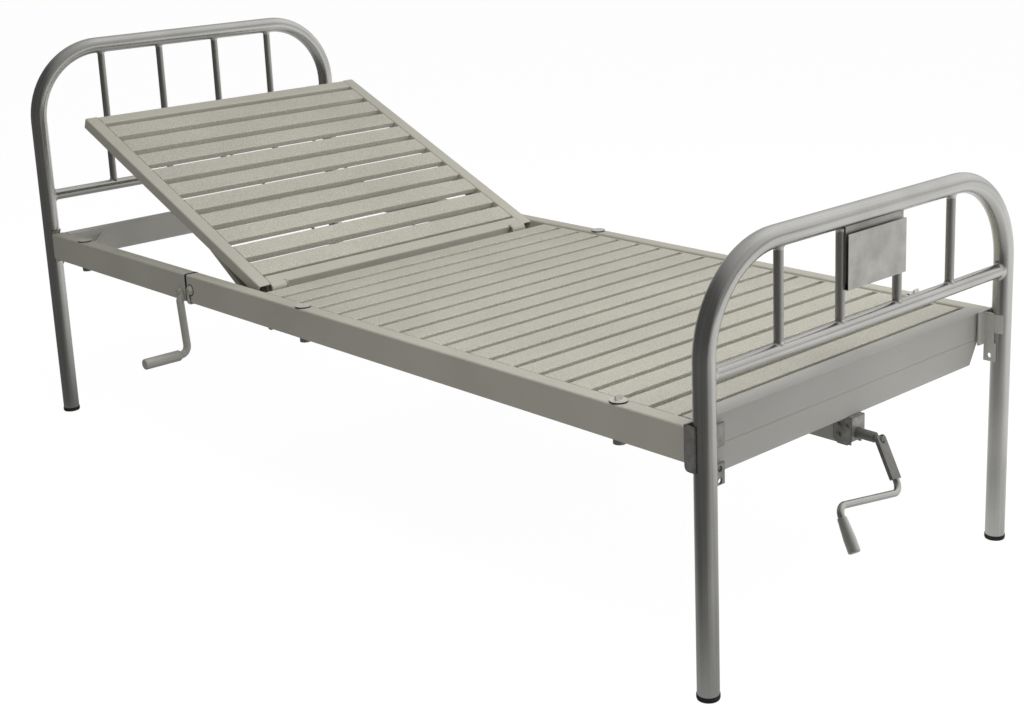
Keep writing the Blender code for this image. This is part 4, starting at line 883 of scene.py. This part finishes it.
def make_lever_frame():
    """Struts and links from the backrest to a cross tube, and the arm that the drive pushes."""
    axes = backrest_axes()
    lowest, highest = joints["backrest_tilt"]["range_deg"]
    swing = math.radians(highest - lowest) / 2
    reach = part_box("lever_frame")[1].y
    outer = reach - CROSS_R / 2
    under = BACK_TOP - BACK_T - GAP
    cross = Vector((CROSS_BACK, -CROSS_DROP))
    bm = bmesh.new()
    for top_x, low, width in ((-STRUT_TOP, STRUT_LOW, STRUT_W), (-LINK_TOP, LINK_W / 2, LINK_W)):
        outline = flat_bar(cross, Vector((top_x, under)), low, width)
        for side in (-1, 1):
            sweep(bm, outline, "Y", side * outer, side * (outer - STRUT_T))
    drive = Vector((math.sin(swing), -math.cos(swing))) * LEVER_R
    sweep(bm, lug(cross, drive, ARM_R), "Y", -ARM_T / 2, ARM_T / 2)
    round_edges(bm, HEAVY_EDGE)
    tube(bm, [(cross.x, -outer, cross.y), (cross.x, outer, cross.y)], CROSS_R, CROSS_R - SHEET, ROD_SIDES)
    pin_ends = [(drive.x, y, drive.y) for y in (-2 * ARM_T, 2 * ARM_T)]
    tube(bm, pin_ends, DRIVE_PIN_R, sides=ROD_SIDES)
    bm.transform(axes)
    piece("lever_frame_welded", bm, "backrest", "grey_beige_paint", ["lever_frame"])
    # Webs inside the struts, in dark zinc rather than the frame's paint: painted shade in the gap under the
    # backrest's side bars
    bm = bmesh.new()
    outline = flat_bar(cross, Vector((-STRUT_TOP, under)), STRUT_LOW - WEB_RAISED, LINK_W)
    for side in (-1, 1):
        sweep(bm, outline, "Y", side * (outer - STRUT_T - GAP), side * (outer - STRUT_T - SHEET))
    bm.transform(axes)
    piece("strut_webs_painted_shade", bm, "backrest", "dark_zinc_plate")


def flat_bar(start, end, low, width):
    """The outline of a flat bar from one point to another, cut off level at its upper end."""
    along = (end - start).normalized()
    down = Vector((-along.y, along.x))
    points = []
    for offset in (low, low - width):
        foot = start + down * offset
        points.append((foot, foot + along * (end.y - foot.y) / along.y))
    (a, b), (c, d) = points
    return [tuple(a), tuple(b), tuple(d), tuple(c)]


def lug(start, end, radius):
    """The outline of a bar with round ends between two points."""
    lean = math.degrees(math.atan2(end.y - start.y, end.x - start.x))
    first = arc(start, radius, lean + 90, lean + 270, LUG_STEPS)
    return first + arc(end, radius, lean - 90, lean + 90, LUG_STEPS)


# Levers, sockets and crank


def make_lock_lever(word, side):
    joint = joints[f"{word}_lever_turn"]
    pin = Vector(joint["pos_m"])
    axes = Matrix.Translation(pin) @ Matrix.Rotation(-LEVER_LEAN, 4, "Y")
    body = f"{word}_lever"
    bm = bmesh.new()
    soft = LEVER_EYE_ROUND
    y0, y1 = sorted((0, side * LEVER_EYE_T))
    eye, inset = capsule(LEVER_EYE_R), capsule(LEVER_EYE_R - soft)
    skin(bm, [(inset, y0), (eye, y0 + soft), (eye, y1 - soft), (inset, y1)], "Y")
    rod_y = side * LEVER_ROD_R
    rod_end = rod_y + side * LEVER_OUT
    x = LEVER_STEP
    flattened(bm, x, side)
    corners = [(x, rod_y, -LEVER_FLAT_END), (x, rod_y, -LEVER_ARM), (x, rod_end, -LEVER_ARM)]
    tube(bm, rounded_path(corners, LEVER_BEND, ROD_BEND_STEPS), LEVER_ROD_R, sides=ROD_SIDES)
    bm.transform(axes)
    piece(f"lock_lever_{word}_rod", bm, body, "grey_lever_paint", [f"lock_lever_{word}"])

    bm = bmesh.new()
    soft = LEVER_GRIP_R / 4
    flat_r = LEVER_GRIP_R - soft
    profile = [(LEVER_ROD_R, LEVER_GRIP_MOUTH), (flat_r, 0)]
    profile += arc((flat_r, soft), soft, LEVER_GRIP_LIP, 0, SMALL_STEPS)
    profile += arc((flat_r, LEVER_GRIP_L - soft), soft, 0, 90, LEVER_GRIP_STEPS)
    profile += [(0, LEVER_GRIP_L)]
    start = rod_end + side * (GAP + LEVER_ROD_R - LEVER_GRIP_L)
    turned(bm, profile, (x, start, -LEVER_ARM), (0, side, 0))
    bm.transform(axes)
    piece(f"lever_grip_{word}_sleeve", bm, body, "grey_lever_paint", [f"lever_grip_{word}"])

    bm = bmesh.new()
    reach = LEVER_EYE_T + GAP
    dome = [(PIN_HEAD_R * math.cos(t), PIN_HEAD_T * math.sin(t)) for t in PIN_DOME]
    profile = [(PIN_R, 0), (PIN_R, reach), (PIN_HEAD_R, reach)]
    profile += [(r, reach + h) for r, h in dome] + [(0, reach + PIN_HEAD_T)]
    turned(bm, profile, pin, (0, side, 0))
    piece(f"lever_pin_{word}_rivet", bm, "frame", "grey_lever_paint", [f"lever_pin_{word}"])


def flattened(bm, x, side):
    """The upper end of a lever's rod, forged flat where it meets the eye."""
    loops = []
    for i in range(ROD_BEND_STEPS + 1):
        share = i / ROD_BEND_STEPS
        thick = LEVER_EYE_T / 2 + (LEVER_ROD_R - LEVER_EYE_T / 2) * share**2 * (3 - 2 * share)
        centre = Vector((x, thick * side, -LEVER_FLAT_END * share))
        u, v = Vector((LEVER_ROD_R, 0, 0)), Vector((0, thick, 0))
        loops.append(circle(centre, u, v, 1, ROD_SIDES))
    loft(bm, loops)


def capsule(radius):
    """The outline of a lever's eye, from the pin to where the rod leaves it."""
    return lug(Vector((0, 0)), Vector((LEVER_STEP, -LEVER_EYE_L)), radius)


def make_socket(node):
    """A socket tube through the rail, with a rimmed cap on a black ring that paints the shade under its rim. The
    foot ones have a tab.
    """
    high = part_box(node)[1]
    centre = middle(node)
    foot = (centre.x, centre.y, 0)
    rail_low, rail_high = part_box("main_rail_near")
    seat = rail_high.z + GAP
    rim = seat + SOCKET_SHADE_RING
    top = rim + SOCKET_CAP_T
    end = rail_low.z - SOCKET_STUB
    r = SOCKET_CAP_R
    profile = [(SOCKET_BORE, seat - SOCKET_BORE_TOP), (SOCKET_BORE, end)]
    profile += [(SOCKET_R - GAP, end), (SOCKET_R, end + GAP), (SOCKET_R, seat)]
    made = turned(bmesh.new(), profile, foot, (0, 0, 1), TUBE_SIDES)
    piece(f"{node}_tube", made, "frame", "pale_cap", [node], looks["dark_zinc_plate"])
    # black ring under the cap's rim: painted shade
    made = turned(bmesh.new(), [(0, seat), (r, seat), (r, rim), (0, rim)], foot, (0, 0, 1), TUBE_SIDES)
    piece(f"{node}_ring", made, "frame", "black_rubber")
    lip, hollow, crown = [r * share for share in SOCKET_DISH]
    profile = [(0, rim), (r - GAP, rim), (r, rim + GAP), (r - GAP, top - GAP), (lip, top - GAP)]
    profile += [(hollow, top - 2 * GAP), (crown, top - GAP), (0, top - GAP)]
    bm = bmesh.new()
    turned(bm, profile, foot, (0, 0, 1), TUBE_SIDES)
    if high.z > top + SOCKET_TAB_LEAST:
        add_finger_tab(bm, centre, top - 2 * GAP, high.z)
    piece(f"{node}_cap", bm, "frame", "pale_cap")


def add_finger_tab(bm, centre, low, high):
    """A wedge that runs across the cap, thin along its upper edge."""
    foot, edge = SOCKET_TAB_FOOT / 2, SOCKET_TAB_EDGE / 2
    outline = [(-foot, low), (foot, low), (edge, high - edge), (0, high), (-edge, high - edge)]
    outline = [(centre.x + u, v) for u, v in outline]
    sweep(bm, outline, "Y", centre.y - SOCKET_TAB_L / 2, centre.y + SOCKET_TAB_L / 2)


def crank_axes():
    joint = joints["crank_fold"]
    tilt = -math.radians(joint["range_deg"][0])
    spin = Matrix.Rotation(-CRANK_SPIN, 4, "X")
    return Matrix.Translation(Vector(joint["pos_m"])) @ spin @ Matrix.Rotation(-tilt, 4, "Y")


def make_crank_arm(axes):
    """A flat bar with a round upper end, forked for the shaft's tongue, and the pin through the fork."""
    half, slot = CRANK_W / 2, CRANK_SLOT / 2
    r, low = CRANK_ROUND, CRANK_LOW_ROUND
    outline = arc((half - low, low - CRANK_ARM), low, -90, 0, SMALL_STEPS)
    outline += arc((half - r, CRANK_TOP - r), r, 0, 90, CORNER_STEPS) + [(slot, CRANK_TOP)]
    outline += arc((0, slot - CRANK_SLOT_DEPTH), slot, 360, 180, 2 * CORNER_STEPS)
    outline += [(-slot, CRANK_TOP)] + arc((r - half, CRANK_TOP - r), r, 90, 180, CORNER_STEPS)
    outline += arc((low - half, low - CRANK_ARM), low, 180, 270, SMALL_STEPS)
    bm = bmesh.new()
    sweep(bm, outline, "X", -CRANK_T / 2, CRANK_T / 2)
    round_edges(bm, HEAVY_EDGE)
    tube(bm, [(0, -half - GAP, 0), (0, half + GAP, 0)], CRANK_PIN_R, sides=ROD_SIDES)
    bm.transform(axes)
    piece("crank_arm_forked", bm, "crank", "grey_lever_paint", ["crank_arm"], crank_steel)


def make_crank():
    axes = crank_axes()
    make_crank_arm(axes)
    grip_low = -(ROD_DROP + ROD_BEND + GAP)
    corners = [(0, 0, -CRANK_ARM - GAP), (0, 0, -ROD_DROP), (0, -ROD_THROW, -ROD_DROP)]
    corners.append((0, -ROD_THROW, grip_low - GRIP_L / 2))
    bm = bmesh.new()
    tube(bm, rounded_path(corners, ROD_BEND, ROD_BEND_STEPS), ROD_R, sides=ROD_SIDES)
    bm.transform(axes)
    piece("crank_rod_bent", bm, "crank", "bright_crank_rod", ["crank_rod"])
    profile = [(ROD_R, GRIP_MOUTH), (GRIP_TOP_R - GRIP_EDGE, 0), (GRIP_TOP_R, GRIP_EDGE)]
    round_centre = (GRIP_END_R - GRIP_ROUND, GRIP_L - GRIP_ROUND)
    profile += [(GRIP_END_R, GRIP_TAPER)] + arc(round_centre, GRIP_ROUND, 0, 90, CORNER_STEPS)
    profile += [(0, GRIP_L)]
    bm = bmesh.new()
    turned(bm, profile, (0, -ROD_THROW, grip_low), (0, 0, -1))
    bm.transform(axes)
    piece("crank_grip_turned", bm, "crank", "bright_crank_rod", ["crank_grip"], grip_steel)


def make_screw():
    """The threaded screw, its thrust collar and the plain shaft that carries the crank."""
    low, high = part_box("screw_shaft")
    pin = Vector(joints["crank_fold"]["pos_m"])
    collar_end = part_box("drive_bracket")[1].x - DRIVE_SHEET - 2 * GAP
    shaft_end = pin.x - CRANK_TOP - CRANK_T / 2
    thread_end = collar_end - COLLAR_L
    count = int((thread_end - low.x) / THREAD_LEAD * THREAD_LOOPS)
    loops = []
    for i in range(count + 1):
        x = low.x + (thread_end - low.x) * i / count
        loop = []
        for k in range(THREAD_STEPS):
            turn = k / THREAD_STEPS
            phase = ((x - low.x) / (THREAD_LEAD / THREAD_STARTS) + turn) % 1
            r = SCREW_R - THREAD_DEPTH * min(1, abs(2 * phase - 1) * THREAD_FLANK)
            angle = math.tau * turn
            loop.append(Vector((x, pin.y + r * math.cos(angle), pin.z + r * math.sin(angle))))
        loops.append(loop)
    bm = bmesh.new()
    loft(bm, loops)
    edge = SCREW_EDGE
    profile = [(0, 0), (COLLAR_R - edge, 0), (COLLAR_R, edge)]
    profile += [(COLLAR_R, COLLAR_L - edge), (COLLAR_R - edge, COLLAR_L)]
    shaft = shaft_end - thread_end
    tongue = high.x - thread_end
    profile += [(SHAFT_R, COLLAR_L), (SHAFT_R, shaft - edge), (SHAFT_R - edge, shaft), (TONGUE_R, shaft)]
    profile += [(TONGUE_R, tongue - 3 * edge), (TONGUE_R - 2 * edge, tongue), (0, tongue)]
    turned(bm, profile, (thread_end, pin.y, pin.z), (1, 0, 0))
    piece("screw_threaded", bm, "screw", "grey_lever_paint", ["screw_shaft"], crank_steel)


# Trim


def make_drive_bolts():
    """Bolt heads that hold the drive bracket to its channel."""
    low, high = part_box("drive_bracket")
    bm = bmesh.new()
    for side, y in ((-1, low.y), (1, high.y)):
        for share_x, share_z in DRIVE_BOLTS:
            x = low.x + (high.x - low.x) * share_x
            z = low.z + (high.z - low.z) * share_z
            bolt(bm, (x, y, z), (0, side, 0))
    piece("drive_bracket_bolts", bm, "frame", "dark_zinc_plate")


def make_pocket_welds():
    """Spot welds that hold the chart pocket to the two middle bars."""
    low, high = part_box("chart_pocket")
    bm = bmesh.new()
    for bar in ("foot_bar_2", "foot_bar_3"):
        y = middle(bar).y + SPOT_WELD_ASIDE
        for share in SPOT_WELDS_UP:
            z = low.z + (high.z - low.z) * share
            turned(bm, SPOT_WELD, (low.x + GAP, y, z), (-1, 0, 0))
    piece("pocket_spot_welds", bm, "frame", "brushed_sheet")


def make_splice_line(word):
    """A black ring round the joint between the two lengths of a rail and a black disc behind the saddle's eye:
    painted shade in the gap and round the eye. Also the rivet in the eye.
    """
    low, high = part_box(f"head_rail_{word}")
    start = high.x - SPLICE_LINE
    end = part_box(f"main_rail_{word}")[0].x
    out = Vector((0, SPLICE_PROUD, SPLICE_PROUD))
    ring_low = Vector((start, low.y, low.z)) - out
    ring_high = Vector((end, high.y, high.z)) + out
    bm = bmesh.new()
    hollow_bar(bm, ring_low, ring_high, "X", RAIL_CORNER)
    saddle_low, saddle_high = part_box(f"splice_saddle_{word}")
    face, side = (low.y, -1) if word == "near" else (high.y, 1)
    eye = (saddle_high.x - SADDLE_EYE_R, face + side * GAP / 3, saddle_high.z - SADDLE_EYE_R)
    profile = [(0, 0), (SPLICE_EYE_R, 0), (SPLICE_EYE_R - GAP, 2 * GAP), (0, 2 * GAP)]
    turned(bm, profile, eye, (0, side, 0))
    out_face = saddle_low.y if word == "near" else saddle_high.y
    rivet = bmesh.new()
    shoulder = (EYE_RIVET_R * EYE_RIVET_EDGE[0], EYE_RIVET_H * EYE_RIVET_EDGE[1])
    profile = [(0, 0), (EYE_RIVET_R, 0), shoulder, (0, EYE_RIVET_H)]
    turned(rivet, profile, (eye[0], out_face, eye[2]), (0, side, 0))
    piece(f"splice_rivet_{word}", rivet, "frame", "grey_lever_paint")
    piece(f"splice_gap_painted_shade_{word}", bm, "frame", "black_rubber")


def make_pocket_painted_shade():
    """A dark zinc sheet at the back of the chart pocket, up to the arch: it closes the gap under the arch and
    paints the shade inside the pocket.
    """
    low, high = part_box("chart_pocket")
    r = half_size("foot_arch").x
    x = low.x + SHEET
    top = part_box("foot_arch")[1].z - r - math.sqrt(r**2 - (x - middle("foot_arch").x)**2)
    shade_sheet_low = (x, low.y + GAP, low.z + SHADE_SHEET_LIFT)
    shade_sheet_high = (x + SHADE_SHEET_T, high.y - GAP, top + GAP)
    made = soft_block(bmesh.new(), shade_sheet_low, shade_sheet_high, SHADE_SHEET_ROUND, "Y")
    piece("pocket_painted_shade", made, "frame", "brushed_sheet", (), looks["dark_zinc_plate"])


def make_gussets():
    """Upright plates across the two corners at the head end, lower towards the rail."""
    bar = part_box("head_end_bar")[1].x
    bm = bmesh.new()
    for side, rail in ((-1, "near"), (1, "far")):
        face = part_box(f"head_rail_{rail}")[1 if side < 0 else 0].y
        start = Vector((bar, face - side * GUSSET_ON_BAR, 0))
        end = Vector((bar + GUSSET_ON_RAIL, face, 0))
        across = (end - start).normalized().cross(Vector((0, 0, 1))) * GUSSET_T
        outline = [(start, GUSSET_LOW), (end, GUSSET_LOW), (end, GUSSET_TOP[1]), (start, GUSSET_TOP[0])]
        face_points = [at + Vector((0, 0, z)) for at, z in outline]
        loft(bm, [face_points, [point + across for point in face_points]])
    round_edges(bm, THIN_EDGE)
    piece("head_gussets", bm, "frame", "grey_beige_paint", (), head_paint_painted_light)


def make_leg_strap():
    """The far foot bracket's strap, bent round the near half of its leg."""
    leg_r = half_size("foot_arch").x
    x = middle("foot_arch").x
    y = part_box("foot_arch")[1].y - leg_r
    inner = leg_r + GAP
    turn = arc((x, y), inner, *STRAP_TURN, 2 * BEND_STEPS)
    outline = turn + arc((x, y), inner + STRAP_T, *STRAP_TURN[::-1], 2 * BEND_STEPS)
    bm = bmesh.new()
    sweep(bm, outline, "Z", *STRAP_Z)
    round_edges(bm, PLAIN_EDGE)
    # paler steel than the near bracket: painted light
    piece("far_foot_strap", bm, "frame", slot_of["hook_bracket_foot_far"], (), far_bracket_painted_light)


def make_leg_bolts():
    """Bolts through the head legs, just above and below the rails."""
    bm = bmesh.new()
    x = middle("head_arch").x
    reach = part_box("head_arch")[1].y - 2 * half_size("head_arch").x
    low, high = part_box("head_rail_near")
    for side in (-1, 1):
        for z in (low.z - LEG_BOLT_BELOW, high.z + LEG_BOLT_ABOVE):
            bolt(bm, (x, side * (reach + GAP), z), (0, -side, 0))
    piece("head_leg_bolts", bm, "frame", "dark_zinc_plate")


make_end("head")
make_end("foot")
make_rails()
make_deck()
make_backrest()
make_lever_frame()
for word, side in (("near", -1), ("far", 1)):
    make_lock_lever(word, side)
    softened(f"splice_saddle_{word}", THIN_EDGE, rail_paint)
    make_splice_line(word)
    softened(f"hinge_pin_{word}", THIN_EDGE)
    softened(f"hook_bracket_head_{word}", HEAVY_EDGE, zinc_with_painted_edge_shade)
    # The far foot bracket's paler steel is painted light; the near one's dark edges are painted shade
    softened(f"hook_bracket_foot_{word}", HEAVY_EDGE, far_bracket_painted_light if word == "far" else zinc_with_painted_edge_shade)
    sleeve_materials = frame["nodes"][f"splice_sleeve_{word}"].data.materials
    sleeve_materials.clear()
    sleeve_materials.append(inner_dark)
    for i in (1, 2, 3):
        make_socket(f"socket_plug_{word}_{i}")
make_crank()
make_screw()
for node in ("drive_channel", "cross_bar", "push_tube", "drive_nut", "tube_guide"):
    softened(node, PLAIN_EDGE)
softened("drive_bracket", PLAIN_EDGE, zinc_with_painted_edge_shade)
softened("chart_pocket", FINE_EDGE)
make_drive_bolts()
make_pocket_welds()
make_pocket_painted_shade()
make_gussets()
make_leg_strap()
make_leg_bolts()


# Camera, light and floor


def add_camera():
    middle_x = (middle("head_arch").x + middle("foot_arch").x) / 2
    level = math.cos(CAMERA_ELEVATION)
    back = Vector((
        math.sin(CAMERA_AZIMUTH) * level,
        -math.cos(CAMERA_AZIMUTH) * level,
        math.sin(CAMERA_ELEVATION),
    ))
    right = Vector((0, 0, 1)).cross(back).normalized()
    up = back.cross(right)
    roll = Matrix.Rotation(CAMERA_ROLL, 3, back)
    turn = Matrix((roll @ right, roll @ up, back)).transposed().to_4x4()
    data = bpy.data.cameras.new("photo camera")
    data.sensor_width = SENSOR_MM
    data.lens = FOCAL_PX * SENSOR_MM / PHOTO_W
    data.shift_x = (PHOTO_W / 2 - CENTRE_PX[0]) / PHOTO_W
    data.shift_y = (CENTRE_PX[1] - PHOTO_H / 2) / PHOTO_W
    camera = add_object("photo camera", data)
    camera.matrix_world = Matrix.Translation(CAMERA_FROM_MIDDLE + Vector((middle_x, 0, 0))) @ turn
    bpy.context.scene.camera = camera


def add_lamp(name, power, size, place, aim):
    """A softbox that metal doesn't mirror, because the studio stands for it there."""
    data = bpy.data.lights.new(name, "AREA")
    data.shape = "RECTANGLE"
    data.size, data.size_y = size
    data.energy = power
    lamp = add_object(name, data)
    lamp.location = place
    lamp.rotation_euler = (Vector(aim) - Vector(place)).to_track_quat("-Z", "Y").to_euler()
    lamp.visible_glossy = False


def grey_ramp(tree, value, greys):
    """A grey that follows a number, through (number, grey) pairs in rising order."""
    low, high = greys[0][0], greys[-1][0]
    spread = add_node(tree, "MapRange", From_Min=low, From_Max=high)
    link(value, spread.inputs["Value"])
    made = add_node(tree, "ValToRGB")
    stops = made.color_ramp.elements
    for number, _ in greys[1:-1]:
        stops.new((number - low) / (high - low))
    for stop, (_, grey) in zip(stops, greys):
        stop.color = (grey, grey, grey, 1)
    link(spread.outputs["Result"], made.inputs["Fac"])
    return made.outputs["Color"]


def mix_shaders(tree, share, first, second):
    made = add_node(tree, "MixShader")
    link(share, made.inputs["Fac"])
    link(first.outputs[0], made.inputs[1])
    link(second.outputs[0], made.inputs[2])
    return made


def by_ray(tree, output, to_others, to_camera, to_mirrors, camera_share):
    """Shows one shader to camera rays, one to mirrored or transmitted rays and one to the rest."""
    path = add_node(tree, "LightPath")
    share = add_node(tree, "Math")
    share.operation = "MULTIPLY"
    share.inputs[1].default_value = camera_share
    link(path.outputs["Is Camera Ray"], share.inputs[0])
    mirrored = add_node(tree, "Math")
    mirrored.operation = "MAXIMUM"
    link(path.outputs["Is Glossy Ray"], mirrored.inputs[0])
    link(path.outputs["Is Transmission Ray"], mirrored.inputs[1])
    seen = mix_shaders(tree, share.outputs[0], to_others, to_camera)
    shown = mix_shaders(tree, mirrored.outputs[0], seen, to_mirrors)
    link(shown.outputs[0], add_node(tree, output).inputs["Surface"])


def empty_tree(owner):
    owner.use_nodes = True
    owner.node_tree.nodes.clear()
    return owner.node_tree


def add_world():
    """White to the camera, a shaded studio to metal, and a low even light to everything else."""
    world = bpy.data.worlds.new("studio")
    bpy.context.scene.world = world
    tree = empty_tree(world)
    even = add_node(tree, "Background", Color=(1, 1, 1, 1), Strength=AMBIENT)
    white = add_node(tree, "Background", Color=(1, 1, 1, 1))
    studio = add_node(tree, "Background")
    place = add_node(tree, "TexCoord")
    closeness = dot_product(tree, place.outputs["Generated"], STUDIO_BRIGHT)
    link(grey_ramp(tree, closeness, STUDIO_GREYS), studio.inputs["Color"])
    by_ray(tree, "OutputWorld", even, white, studio, 1.0)


def add_floor():
    """A pale floor that keeps the bed's shadow and looks white to the camera."""
    made = bpy.data.materials.new("pale floor")
    tree = empty_tree(made)
    matt = add_node(tree, "BsdfDiffuse", Color=FLOOR_COLOUR)
    white = add_node(tree, "Emission", Strength=FLOOR_WHITE)
    mirror = add_node(tree, "Emission")
    place = add_node(tree, "TexCoord")
    distance = dot_product(tree, place.outputs["Object"], FLOOR_BRIGHT_WAY)
    link(grey_ramp(tree, distance, FLOOR_GREYS), mirror.inputs["Color"])
    by_ray(tree, "OutputMaterial", matt, white, mirror, FLOOR_WHITE_SHARE)
    mesh = bpy.data.meshes.new("floor")
    h = FLOOR_HALF
    mesh.from_pydata([(-h, -h, 0), (h, -h, 0), (h, h, 0), (-h, h, 0)], [], [(0, 1, 2, 3)])
    mesh.materials.append(made)
    floor = add_object("floor", mesh)


add_camera()
add_world()
add_floor()
for lamp in LAMPS:
    add_lamp(*lamp)
bpy.context.scene.view_settings.view_transform = "Standard"
